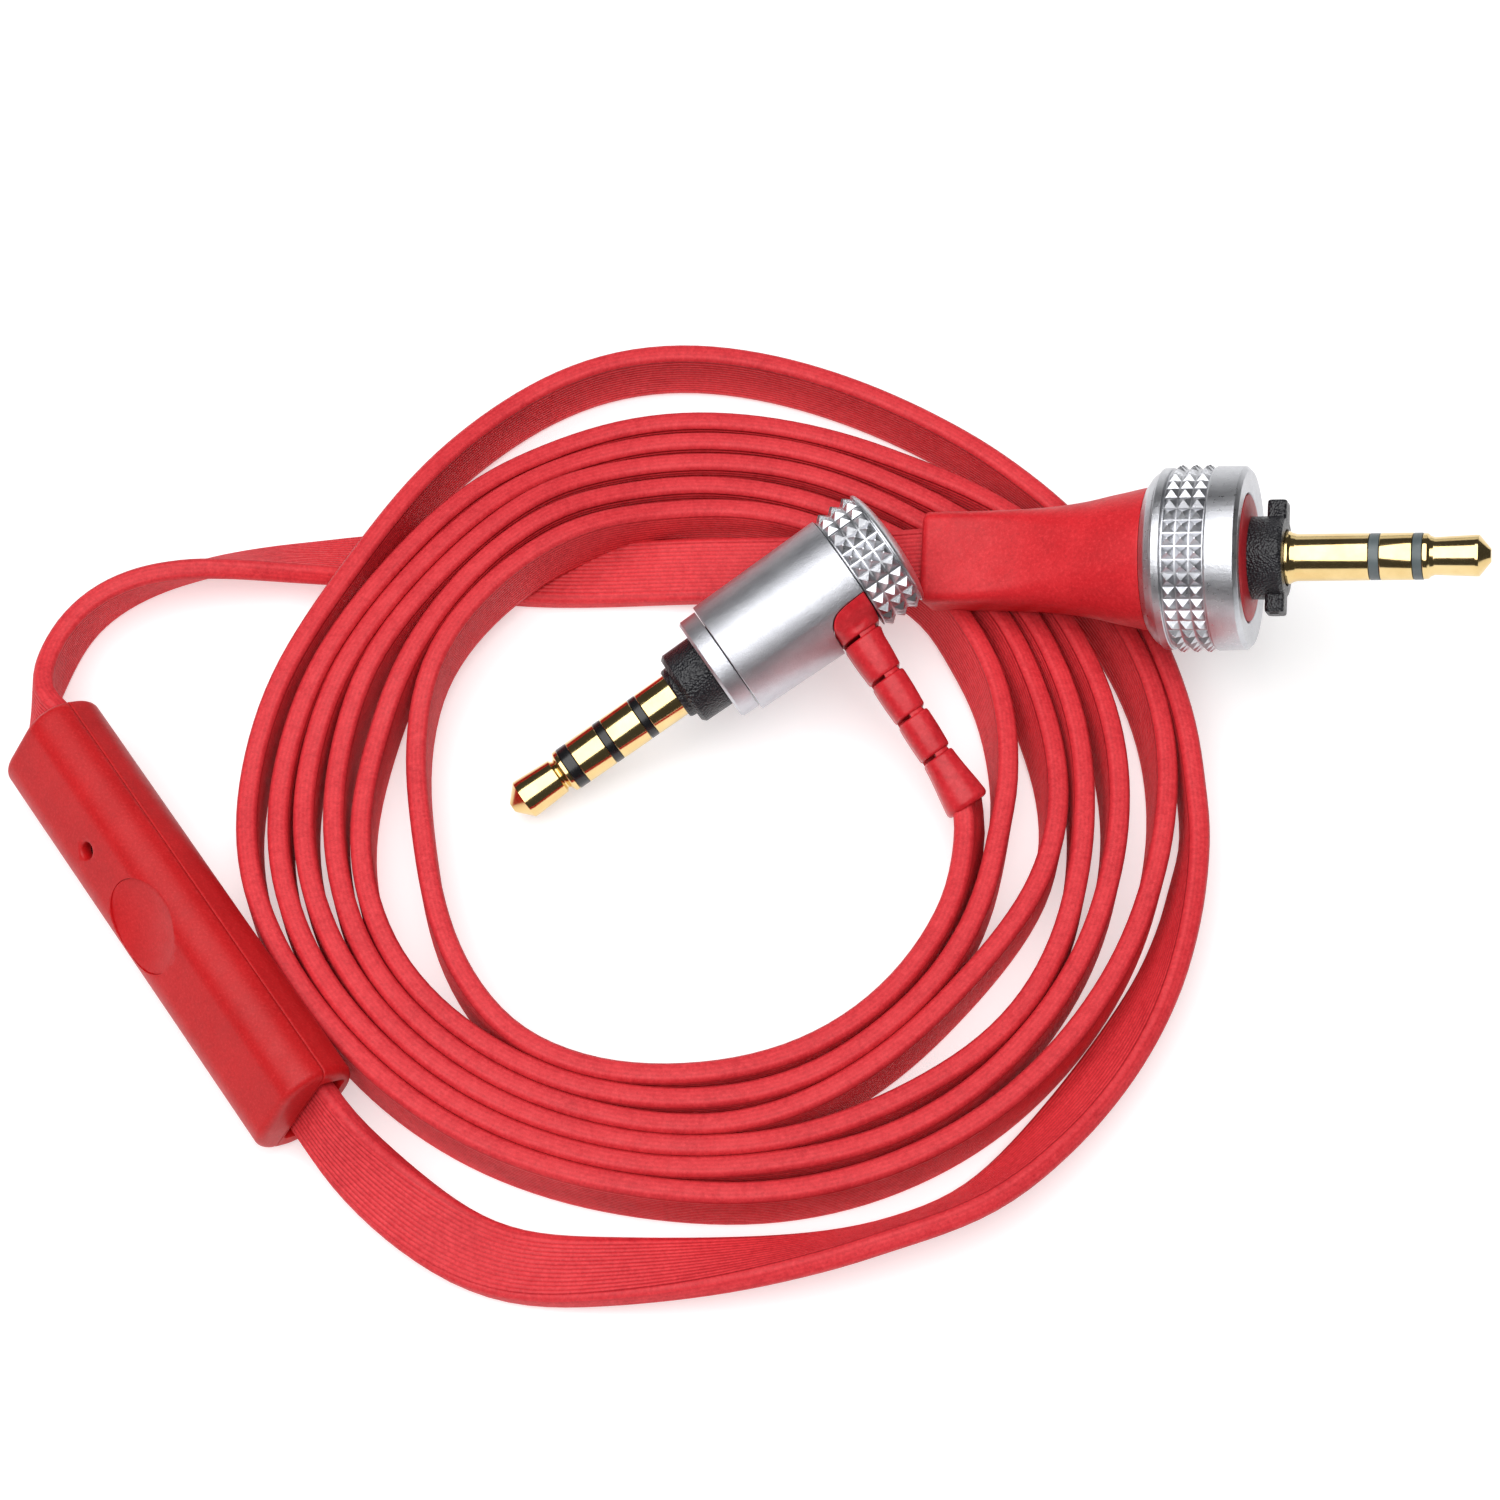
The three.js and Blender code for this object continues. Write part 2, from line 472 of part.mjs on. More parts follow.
const COIL_INNER = [
  [15.07, -10.75],
  [14.41, -13.69],
  [13.21, -16.53],
  [11.60, -19.17],
  [9.62, -21.60],
  [7.29, -23.70],
  [4.61, -25.43],
  [1.56, -26.76],
  [-1.79, -27.59],
  [-5.39, -27.94],
  [-8.96, -27.80],
  [-12.31, -27.06],
  [-15.39, -25.69],
  [-17.95, -23.55],
  [-20.06, -20.65],
  [-21.58, -17.43],
  [-22.59, -14.09],
  [-23.26, -10.72],
  [-23.79, -7.38],
  [-24.17, -4.10],
  [-24.20, -0.95],
  [-23.74, 2.11],
  [-22.70, 5.16],
  [-21.03, 8.11],
  [-18.69, 10.98],
  [-15.80, 13.53],
  [-12.49, 15.62],
  [-8.86, 17.12],
  [-5.11, 17.91],
  [-1.29, 18.00],
  [2.40, 17.39],
  [5.84, 16.13],
  [8.87, 14.09],
  [10.90, 11.28],
  [12.12, 8.40],
  [13.40, 5.27],
  [14.85, 2.17],
  [16.20, -1.34],
  [17.40, -4.71],
  [17.80, -7.93],
];
// the outer loop: from the coil, under the collar and round to the remote's lower end [x, y, z, lean]
const LOOP = [
  [33.16, -7.31, 2.68, 5.56],
  [32.64, -11.80, 2.73, 12.05],
  [31.51, -16.19, 2.73, 21.57],
  [29.82, -20.39, 2.62, 34.11],
  [27.68, -24.37, 2.42, 45.04],
  [25.10, -28.09, 2.26, 51.85],
  [22.10, -31.47, 2.11, 57.06],
  [18.73, -34.50, 1.97, 61.24],
  [15.04, -37.13, 1.88, 64.19],
  [11.03, -39.22, 1.82, 65.48],
  [6.75, -40.67, 1.72, 68.25],
  [2.31, -41.55, 1.51, 73.64],
  [-2.18, -42.04, 1.19, 82.08],
  [-6.70, -42.27, 0.98, 87.98],
  [-11.23, -42.17, 1.04, 93.76],
  [-15.70, -41.53, 1.34, 102.00],
  [-20.00, -40.18, 1.70, 111.09],
  [-23.99, -38.08, 2.06, 121.39],
  [-27.58, -35.34, 2.38, 133.42],
  [-30.77, -32.14, 2.53, 140.43],
];
// from the remote's upper end, under the coil's far side and over its near side to the straight plug
const LEAD = [
  [-52.96, -1.22, 4.33, -38.40],
  [-53.85, 2.60, 3.41, -8.01],
  [-53.15, 6.61, 2.64, -0.65],
  [-51.17, 10.28, 2.71, -7.26],
  [-47.90, 12.85, 2.75, -15.94],
  [-43.97, 14.28, 2.72, -26.31],
  [-39.85, 14.99, 2.52, -40.75],
  [-35.68, 15.34, 2.24, -52.66],
  [-31.52, 15.69, 1.84, -65.40],
  [-27.37, 15.99, 1.32, -78.77],
  [-23.20, 15.79, 0.94, -87.71],
  [-19.06, 15.17, 0.97, -92.61],
  [-14.88, 14.89, 1.14, -96.95],
  [-10.69, 14.88, 1.27, -99.71],
  [-6.50, 14.91, 1.56, -101.57],
  [-2.34, 14.74, 2.04, -103.34],
  [1.76, 14.35, 2.80, -105.09],
  [5.77, 13.80, 3.91, -106.96],
  [9.64, 13.19, 5.40, -109.49],
  [13.53, 12.56, 6.80, -110.00],
];

// Cuts a run of cord short of both ends by the given lengths.
function trimRun(points, a, b) {
  const at = points.map((p) => p.slice());
  const cutEnd = (list, length) => {
    while (list.length > 2) {
      const [p, q] = [list[0], list[1]];
      const d = Math.hypot(q[0] - p[0], q[1] - p[1], q[2] - p[2]);
      if (d > length) {
        const k = length / d;
        list[0] = p.map((v, i) => v + (q[i] - v) * k);
        return;
      }
      length -= d;
      list.shift();
    }
  };
  cutEnd(at, a);
  at.reverse();
  cutEnd(at, b);
  at.reverse();
  return at;
}

const inGroup = (group, s) => {
  const g = geometryOf(s);
  g.applyMatrix4(group.matrix);
  return solid(g);
};
// clearance bodies, larger than the parts by the gap
const clearAngled = inGroup(angled, turned([[A_CAP_BACK - GAP, 0], [A_CAP_BACK + 0.35 - GAP, 3.5], [A_CAP_BACK + 0.75 - GAP, A_CAP_R], [-0.2, A_CAP_R + GAP],
    [16.05, A_CAP_R + GAP], [16.05, 0]], 20));
const clearBoot = (() => {
  const ring = (y, t, h) => ({ x: y, pts: roundRect(t / 2 + GAP, h / 2 + GAP, 1, 2) });
  const g = geometryOf(loft([ring(1.0, BOOT_T, BOOT_H), ring(BOOT_REACH + GAP, BOOT_END_T, BOOT_END_H)]));
  g.applyMatrix4(new THREE.Matrix4().makeBasis(V(0, 1, 0), V(-1, 0, 0), V(0, 0, 1)).setPosition(BOOT_X, 0, 0));
  g.applyMatrix4(angled.matrix);
  return solid(g);
})();
const clearStraight = inGroup(straight, loft([
  { x: -GAP, pts: roundRect(S_REAR_W / 2 + GAP, S_REAR_T / 2 + GAP, 1.4, 5) },
  { x: 5.5, pts: roundRect(3.66 + GAP, 2.4 + GAP, 1.9, 5) },
  { x: 9.5, pts: roundRect(3.9 + GAP, 3.15 + GAP, 3.0, 5) },
  { x: 13, pts: roundRect(4.5 + GAP, 4.2 + GAP, 4.1, 5) },
  { x: S_HOUSING_L, pts: roundRect(5.5 + GAP, 5.5 + GAP, 5.5 + GAP, 5) },
]).add(turned([[16.8, 0], [16.8, 6.2], [18.2, S_COLLAR_R + 0.45], [25.4, S_COLLAR_R + 0.45], [25.4, 0]], 20)));
const clearRemote = inGroup(remote, bar(-R_LENGTH / 2 - GAP, R_LENGTH / 2 + GAP, R_W / 2 + GAP, R_T / 2 + GAP, R_CORNER + GAP, 0.3, 4));

const ends = 0.3;
const lead = trimRun(LEAD, ends, ends);
const loop = trimRun(LOOP, 0.2, ends);
const leadSolid = flatTube(lead, CORD_W, CORD_T).subtract(clearAngled);
const loopSolid = flatTube(loop, CORD_W, CORD_T);
const leadClear = flatTube(LEAD, CORD_W + 2 * GAP, CORD_T + 2 * GAP);
const loopClear = flatTube(LOOP, CORD_W + 2 * GAP, CORD_T + 2 * GAP);

{
  const slab = (list, z0, z1) => {
    const g = new THREE.ExtrudeGeometry(
      new THREE.Shape(list.map(([x, y]) => new THREE.Vector2(x, y))),
      { depth: z1 - z0, bevelEnabled: false, steps: 1 });
    g.translate(0, 0, z0);
    return solid(g);
  };
  const coil = slab(COIL_OUTER, 0.02, COIL_H).subtract(slab(COIL_INNER, -1, COIL_H + 1))
    .subtract(leadClear).subtract(loopClear).subtract(clearBoot)
    .subtract(clearStraight).subtract(clearRemote).subtract(clearAngled);
  const bodies = coil.decompose().sort((a, b) => b.volume() - a.volume());
  place(root, "coil_cord", bodies[0], "red_rubber");
}
place(root, "outer_loop_cord", loopSolid, "red_rubber");
place(root, "plug_lead_cord", leadSolid, "red_rubber");

export default root;
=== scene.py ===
import bpy
import bmesh
import math
import numpy as np
from mathutils import Matrix, Vector


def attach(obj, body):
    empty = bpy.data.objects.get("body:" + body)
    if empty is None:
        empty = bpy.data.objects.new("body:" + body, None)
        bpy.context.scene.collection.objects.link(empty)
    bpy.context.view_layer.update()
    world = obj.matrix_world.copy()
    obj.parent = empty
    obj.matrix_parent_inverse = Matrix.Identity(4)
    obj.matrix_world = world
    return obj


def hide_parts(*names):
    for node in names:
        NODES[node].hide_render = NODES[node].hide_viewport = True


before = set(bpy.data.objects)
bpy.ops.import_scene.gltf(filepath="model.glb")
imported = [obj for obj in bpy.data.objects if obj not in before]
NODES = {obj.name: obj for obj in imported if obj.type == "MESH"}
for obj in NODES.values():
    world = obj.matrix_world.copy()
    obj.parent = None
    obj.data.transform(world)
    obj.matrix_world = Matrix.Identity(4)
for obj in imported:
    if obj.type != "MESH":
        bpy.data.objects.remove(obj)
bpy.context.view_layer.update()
MM = 0.001
SCENE = bpy.context.scene

# ---- places, in millimetres in the part's frame -------------------------------------------
SHIFT = np.array([-0.7743, -8.3121, 0.0])


def place(p):
    return np.array(p, float) - SHIFT


def unit(v):
    v = np.array(v, float)
    return v / np.linalg.norm(v)


def basis(origin, x, z):
    """A local frame: X along x, Z as near z as it can be."""
    X = unit(x)
    Z = unit(np.array(z, float) - np.dot(z, X) * X)
    Y = np.cross(Z, X)
    M = np.eye(4)
    M[:3, 0], M[:3, 1], M[:3, 2], M[:3, 3] = X, Y, Z, origin
    return M


A_CAP = place([9.95, 11.012, 11.2])
A_DIR = unit([-0.8212, -0.5019, -0.2714])
A_BOOT_END = place([16.63, -6.309, 3.25])
BOOT_X = 5.08
BOOT_FROM = A_CAP + A_DIR * BOOT_X
BOOT_DIR = unit(A_BOOT_END - BOOT_FROM)
BOOT_REACH = float(np.linalg.norm(A_BOOT_END - BOOT_FROM))
ANGLED = basis(A_CAP, A_DIR, np.cross(A_DIR, BOOT_DIR))

S_REAR = place([13.559, 12.728, 6.8])
S_DIR = unit([0.952, -0.1491, 0.2672])
_up = unit(np.array([0, 0, 1.0]) - S_DIR[2] * S_DIR)
_side = np.cross(_up, S_DIR)
_roll = math.radians(20)
STRAIGHT = basis(S_REAR, S_DIR, _up * math.cos(_roll) - _side * math.sin(_roll))

R_LENGTH, R_W, R_T, R_CORNER, R_SPLIT, R_CORD_Z = 36.8, 8.7, 6.3, 2.7, 0.62, -0.75
R_AXIS = unit([0.5743, -0.8187, 0])
_rs = np.array([-R_AXIS[1], R_AXIS[0], 0])
_tilt = math.radians(52)
R_FACE = -_rs * math.sin(_tilt) + np.array([0, 0, math.cos(_tilt)])
R_UPPER = place([-52.72, -1.23, 4.257])
R_MID = R_UPPER + R_AXIS * R_LENGTH / 2
REMOTE = basis(R_MID, R_AXIS, R_FACE)

# ---- camera -------------------------------------------------------------------------------
cam_data = bpy.data.cameras.new("camera")
cam_data.sensor_width = 36.0
cam_data.lens = 81.43
cam_data.clip_start = 0.01
cam_data.clip_end = 20
camera = bpy.data.objects.new("camera", cam_data)
SCENE.collection.objects.link(camera)
cam_at = Vector(place([0, -122.0626, 229.5664]) * MM)
cam_to = Vector(place([0, 0, 0]) * MM)
camera.location = cam_at
camera.rotation_euler = (cam_to - cam_at).to_track_quat("-Z", "Y").to_euler()
SCENE.camera = camera

# ---- mesh helpers -------------------------------------------------------------------------


def mesh_object(name, verts, faces, M=None, angle=32.0, sharp=True):
    """A mesh piece from points in millimetres, in the frame M, with outward faces."""
    v = np.asarray(verts, float)
    if M is not None:
        v = v @ M[:3, :3].T + M[:3, 3]
    me = bpy.data.meshes.new(name)
    me.from_pydata((v * MM).tolist(), [], [list(map(int, f)) for f in faces])
    me.update()
    bm = bmesh.new()
    bm.from_mesh(me)
    bmesh.ops.remove_doubles(bm, verts=bm.verts, dist=1e-8)
    bmesh.ops.dissolve_degenerate(bm, dist=1e-8, edges=bm.edges)
    bmesh.ops.recalc_face_normals(bm, faces=bm.faces)
    bm.to_mesh(me)
    bm.free()
    ob = bpy.data.objects.new(name, me)
    SCENE.collection.objects.link(ob)
    shade(ob, angle, sharp)
    return ob


def shade(ob, angle=32.0, sharp=True):
    me = ob.data
    me.shade_smooth()
    if sharp:
        me.set_sharp_from_angle(angle=math.radians(angle))


def apply_mods(ob):
    deps = bpy.context.evaluated_depsgraph_get()
    deps.update()
    me = bpy.data.meshes.new_from_object(ob.evaluated_get(deps), depsgraph=deps)
    old = ob.data
    ob.modifiers.clear()
    ob.data = me
    me.name = ob.name
    bpy.data.meshes.remove(old)
    return ob


def cut(ob, tool, how="DIFFERENCE", keep=False):
    m = ob.modifiers.new("cut", "BOOLEAN")
    m.operation = how
    m.solver = "EXACT"
    m.object = tool
    apply_mods(ob)
    if not keep:
        me = tool.data
        bpy.data.objects.remove(tool)
        bpy.data.meshes.remove(me)
    return ob


def bevel(ob, width, segments=2, angle=35):
    m = ob.modifiers.new("edge", "BEVEL")
    m.width = width * MM
    m.segments = segments
    m.limit_method = "ANGLE"
    m.angle_limit = math.radians(angle)
    m.use_clamp_overlap = True
    apply_mods(ob)
    return ob


def rounded(pts, default=0.12, steps=5):
    """A profile with each inner corner rounded: points (x, r) or (x, r, radius)."""
    out = []
    n = len(pts)
    for i, p in enumerate(pts):
        b = np.array(p[:2], float)
        rad = p[2] if len(p) > 2 else default
        if i == 0 or i == n - 1 or rad <= 0:
            out.append(tuple(b))
            continue
        a, c = np.array(pts[i - 1][:2], float), np.array(pts[i + 1][:2], float)
        u, w = a - b, c - b
        lu, lw = np.linalg.norm(u), np.linalg.norm(w)
        if lu < 1e-9 or lw < 1e-9:
            out.append(tuple(b))
            continue
        u, w = u / lu, w / lw
        ang = math.acos(max(-1, min(1, float(u @ w))))
        if ang > math.pi - 0.03 or ang < 0.03:
            out.append(tuple(b))
            continue
        d = min(rad / math.tan(ang / 2), 0.48 * lu, 0.48 * lw)
        r = d * math.tan(ang / 2)
        bis = (u + w) / np.linalg.norm(u + w)
        c0 = b + bis * (r / math.sin(ang / 2))
        p0, p1 = b + u * d, b + w * d
        a0 = math.atan2(*(p0 - c0)[::-1])
        a1 = math.atan2(*(p1 - c0)[::-1])
        da = (a1 - a0 + math.pi) % (2 * math.pi) - math.pi
        for k in range(steps + 1):
            t = a0 + da * k / steps
            out.append((c0[0] + r * math.cos(t), c0[1] + r * math.sin(t)))
    return out


def ring_profile(pts, default=0.12, steps=5):
    """The same for a closed profile (a ring's section)."""
    n = len(pts)
    ext = [pts[-1]] + list(pts) + [pts[0]]
    out = []
    for i in range(1, n + 1):
        seg = rounded([ext[i - 1][:2], ext[i], ext[i + 1][:2]], default, steps)
        out += seg[1:-1]
    return out


def lathe(name, prof, M, n=96, closed=False, angle=32.0, mark=None):
    """A turned piece about local X. prof is (x, r); closed joins its end to its start."""
    prof = list(prof)
    verts, rows = [], []
    for x, r in prof:
        if r < 1e-6:
            rows.append([len(verts)] * n)
            verts.append((x, 0, 0))
        else:
            rows.append(list(range(len(verts), len(verts) + n)))
            for k in range(n):
                t = 2 * math.pi * k / n
                verts.append((x, r * math.cos(t), r * math.sin(t)))
    faces = []
    m = len(rows)
    for i in range(m if closed else m - 1):
        a, b = rows[i], rows[(i + 1) % m]
        for k in range(n):
            k2 = (k + 1) % n
            f = [a[k], a[k2], b[k2], b[k]]
            f = [f[j] for j in range(4) if f[j] != f[j - 1]]
            if len(f) >= 3:
                faces.append(f)
    return mesh_object(name, verts, faces, M, angle)


def loft(name, rings, M, angle=32.0, cap0=True, cap1=True, extra=None):
    """rings: (count, points, 3) in millimetres, each closed; the ends are closed with a fan."""
    R = np.asarray(rings, float)
    nr, m, _ = R.shape
    verts = R.reshape(-1, 3).tolist()
    faces = []
    for i in range(nr - 1):
        a, b = i * m, (i + 1) * m
        for k in range(m):
            k2 = (k + 1) % m
            faces.append((a + k, a + k2, b + k2, b + k))
    for on, i in ((cap0, 0), (cap1, nr - 1)):
        if on:
            c = len(verts)
            verts.append(R[i].mean(0).tolist())
            for k in range(m):
                faces.append((i * m + k, i * m + (k + 1) % m, c))
    return mesh_object(name, verts, faces, M, angle)


def round_rect(w, h, r, corner=12, side=6, side2=None):
    """A rounded rectangle's outline of half sizes w, h: the same count of points for every size."""
    side2 = side if side2 is None else side2
    r = min(r, w, h)
    pts = []
    cx, cy = w - r, h - r
    for q, (sx, sy) in enumerate(((1, 1), (-1, 1), (-1, -1), (1, -1))):
        a0 = q * math.pi / 2
        arc = []
        for k in range(corner + 1):
            t = a0 + (math.pi / 2) * k / corner
            arc.append((sx * cx + r * math.cos(t), sy * cy + r * math.sin(t)))
        pts += arc
        ns = side if q % 2 == 0 else side2
        nx = {0: (-cx, h), 1: (-w, -cy), 2: (cx, -h), 3: (w, cy)}[q]
        p0 = arc[-1]
        for k in range(1, ns):
            f = k / ns
            pts.append((p0[0] + (nx[0] - p0[0]) * f, p0[1] + (nx[1] - p0[1]) * f))
    return np.array(pts)


def box_tool(x0, x1, y0, y1, z0, z1, M):
    v = [(x, y, z) for x in (x0, x1) for y in (y0, y1) for z in (z0, z1)]
    f = [(0, 1, 3, 2), (4, 6, 7, 5), (0, 4, 5, 1), (2, 3, 7, 6), (0, 2, 6, 4), (1, 5, 7, 3)]
    return mesh_object("tool", v, f, M)


def prism_tool(outline, z0, z1, M, angle=30):
    """An outline in local XY, extruded along local Z."""
    o = np.asarray(outline, float)
    rings = [np.c_[o, np.full(len(o), z)] for z in (z0, z1)]
    return loft("tool", rings, M, angle)


def spline(xs, ys, at):
    """A natural cubic spline through the points, for each column of ys."""
    xs, ys, at = np.asarray(xs, float), np.asarray(ys, float), np.asarray(at, float)
    one = ys.ndim == 1
    if one:
        ys = ys[:, None]
    n = len(xs)
    h = np.diff(xs)
    A = np.zeros((n, n))
    B = np.zeros((n, ys.shape[1]))
    A[0, 0] = A[-1, -1] = 1
    for i in range(1, n - 1):
        A[i, i - 1], A[i, i], A[i, i + 1] = h[i - 1], 2 * (h[i - 1] + h[i]), h[i]
        B[i] = 6 * ((ys[i + 1] - ys[i]) / h[i] - (ys[i] - ys[i - 1]) / h[i - 1])
    m = np.linalg.solve(A, B)
    k = np.clip(np.searchsorted(xs, at) - 1, 0, n - 2)
    t0, t1 = (xs[k + 1] - at)[:, None], (at - xs[k])[:, None]
    hk = h[k][:, None]
    out = (
        m[k] * t0**3 / (6 * hk) + m[k + 1] * t1**3 / (6 * hk)
        + (ys[k] / hk - m[k] * hk / 6) * t0 + (ys[k + 1] / hk - m[k + 1] * hk / 6) * t1
    )
    return out[:, 0] if one else out


def monotone(xs, ys, at):
    """Smooth interpolation that doesn't overshoot (for tapers)."""
    xs, ys = np.asarray(xs, float), np.asarray(ys, float)
    h = np.diff(xs)
    d = np.diff(ys) / h
    m = np.zeros(len(xs))
    m[0], m[-1] = d[0], d[-1]
    for i in range(1, len(xs) - 1):
        if d[i - 1] * d[i] > 0:
            w1, w2 = 2 * h[i] + h[i - 1], h[i] + 2 * h[i - 1]
            m[i] = (w1 + w2) / (w1 / d[i - 1] + w2 / d[i])
    at = np.asarray(at, float)
    k = np.clip(np.searchsorted(xs, at) - 1, 0, len(xs) - 2)
    t = (at - xs[k]) / h[k]
    return (
        (2 * t**3 - 3 * t**2 + 1) * ys[k] + (t**3 - 2 * t**2 + t) * h[k] * m[k]
        + (-2 * t**3 + 3 * t**2) * ys[k + 1] + (t**3 - t**2) * h[k] * m[k + 1]
    )

# ---- materials ----------------------------------------------------------------------------


class Nodes:
    """A small helper for node trees."""

    def __init__(self, name):
        self.mat = bpy.data.materials.new(name)
        self.mat.use_nodes = True
        self.t = self.mat.node_tree
        self.t.nodes.clear()
        self.out = self.t.nodes.new("ShaderNodeOutputMaterial")
        self.bsdf = self.t.nodes.new("ShaderNodeBsdfPrincipled")
        self.t.links.new(self.bsdf.outputs[0], self.out.inputs[0])
        self.coord = self.t.nodes.new("ShaderNodeTexCoord")

    def set(self, **kw):
        for k, v in kw.items():
            self.bsdf.inputs[k.replace("_", " ")].default_value = v
        return self

    def link(self, a, b):
        self.t.links.new(a, b)

    def noise(self, scale, detail=4.0, rough=0.55, vec=None, distortion=0.0):
        n = self.t.nodes.new("ShaderNodeTexNoise")
        n.inputs["Scale"].default_value = scale
        n.inputs["Detail"].default_value = detail
        n.inputs["Roughness"].default_value = rough
        n.inputs["Distortion"].default_value = distortion
        self.link(vec or self.coord.outputs["Object"], n.inputs["Vector"])
        return n.outputs["Fac"]

    def voronoi(self, scale, vec=None, feature="F1"):
        n = self.t.nodes.new("ShaderNodeTexVoronoi")
        n.feature = feature
        n.inputs["Scale"].default_value = scale
        self.link(vec or self.coord.outputs["Object"], n.inputs["Vector"])
        return n.outputs["Distance"]

    def stretch(self, scale, rotation=None):
        m = self.t.nodes.new("ShaderNodeMapping")
        m.inputs["Scale"].default_value = scale
        if rotation is not None:
            m.inputs["Rotation"].default_value = rotation
        self.link(self.coord.outputs["Object"], m.inputs["Vector"])
        return m.outputs["Vector"]

    def ramp(self, fac, stops):
        r = self.t.nodes.new("ShaderNodeValToRGB")
        e = r.color_ramp.elements
        while len(e) < len(stops):
            e.new(0.5)
        for i, (p, c) in enumerate(stops):
            e[i].position = p
            e[i].color = (*c, 1) if len(c) == 3 else c
        self.link(fac, r.inputs["Fac"])
        return r.outputs["Color"]

    def remap(self, fac, lo, hi, a, b):
        m = self.t.nodes.new("ShaderNodeMapRange")
        m.inputs["From Min"].default_value = lo
        m.inputs["From Max"].default_value = hi
        m.inputs["To Min"].default_value = a
        m.inputs["To Max"].default_value = b
        self.link(fac, m.inputs["Value"])
        return m.outputs["Result"]

    def mix(self, fac, a, b, how="MIX"):
        m = self.t.nodes.new("ShaderNodeMix")
        m.data_type = "RGBA"
        m.blend_type = how
        for sock, val in ((m.inputs[0], fac), (m.inputs[6], a), (m.inputs[7], b)):
            if isinstance(val, bpy.types.NodeSocket):
                self.link(val, sock)
            else:
                sock.default_value = val if not isinstance(val, tuple) or len(val) != 3 else (*val, 1)
        return m.outputs[2]

    def math(self, op, a, b=None):
        m = self.t.nodes.new("ShaderNodeMath")
        m.operation = op
        for sock, val in zip(m.inputs, (a, b)):
            if val is None:
                continue
            if isinstance(val, bpy.types.NodeSocket):
                self.link(val, sock)
            else:
                sock.default_value = val
        return m.outputs[0]

    def attr(self, name):
        a = self.t.nodes.new("ShaderNodeAttribute")
        a.attribute_name = name
        return a.outputs["Fac"]

    def bump(self, height, strength, distance, base=None):
        b = self.t.nodes.new("ShaderNodeBump")
        b.inputs["Strength"].default_value = strength
        b.inputs["Distance"].default_value = distance
        self.link(height, b.inputs["Height"])
        if base is not None:
            self.link(base, b.inputs["Normal"])
        return b.outputs["Normal"]

    def normal(self, n):
        self.link(n, self.bsdf.inputs["Normal"])
        return self

    def color(self, c):
        self.link(c, self.bsdf.inputs["Base Color"])
        return self

    def rough(self, r):
        self.link(r, self.bsdf.inputs["Roughness"])
        return self


def srgb(r, g, b):
    return tuple((c / 255 / 12.92) if c / 255 <= 0.04045 else (((c / 255) + 0.055) / 1.055) ** 2.4 for c in (r, g, b))


def rubber(name, light, mid, dark, rough=(0.50, 0.64), grain=5200.0, bump_mm=0.012, crest=None):
    """Moulded red rubber or plastic: a fine matt grain, slight mottling, and on ribbed parts paler crests (rub wear
    plus a painted highlight) with painted shade in the grooves.
    """
    n = Nodes(name)
    blotch = n.noise(260, 5, 0.6)
    col = n.ramp(blotch, [(0.30, dark), (0.50, mid), (0.72, light)])
    if crest:
        # paler crests: partly rub wear, partly a painted highlight
        rubbed_and_lit = n.attr(crest)
        fleck = n.noise(1900, 3, 0.6)
        amount = n.math("MULTIPLY", rubbed_and_lit, n.remap(fleck, 0.35, 0.7, 0.15, 0.75))
        col = n.mix(amount, col, tuple(min(1, c * 1.16 + 0.012) for c in light))
        # painted shade darkening the grooves between the ribs
        groove = n.math("SUBTRACT", 1.0, rubbed_and_lit)
        col = n.mix(n.math("MULTIPLY", groove, 0.68), col, tuple(c * 0.42 for c in dark))
    # the fine pale and dark grain of moulded rubber
    speck = n.noise(grain * 0.9, 2, 0.75)
    col = n.mix(n.remap(speck, 0.52, 0.72, 0.0, 0.30), col, tuple(min(1, c * 1.30 + 0.035) for c in light))
    col = n.mix(n.remap(speck, 0.46, 0.30, 0.0, 0.30), col, tuple(c * 0.55 for c in dark))
    n.color(col)
    fine = n.noise(grain, 3, 0.6)
    n.rough(n.remap(n.noise(900, 4, 0.6), 0.3, 0.7, *rough))
    n.normal(n.bump(fine, 0.55, bump_mm * MM))
    n.set(Specular_IOR_Level=0.30 if crest else 0.34)
    return n


M_CORD = rubber("cord_rubber", srgb(214, 50, 57), srgb(206, 40, 49), srgb(192, 33, 43),
                rough=(0.50, 0.62), grain=4800, bump_mm=0.012, crest="crest")

M_BOOT = rubber("boot_rubber", srgb(210, 44, 52), srgb(200, 35, 44), srgb(184, 28, 37),
                rough=(0.34, 0.46), grain=2600, bump_mm=0.034)
M_HOUSE = rubber("housing_red", srgb(216, 38, 46), srgb(205, 30, 39), srgb(192, 25, 34),
                 rough=(0.42, 0.56), grain=4200, bump_mm=0.024)
M_REMOTE = rubber("remote_red", srgb(194, 18, 23), srgb(187, 14, 19), srgb(178, 12, 17),
                  rough=(0.42, 0.52), grain=5600, bump_mm=0.010)
M_DISC = rubber("disc_red", srgb(190, 36, 46), srgb(178, 28, 38), srgb(162, 22, 32),
                rough=(0.40, 0.50), grain=5200, bump_mm=0.012)


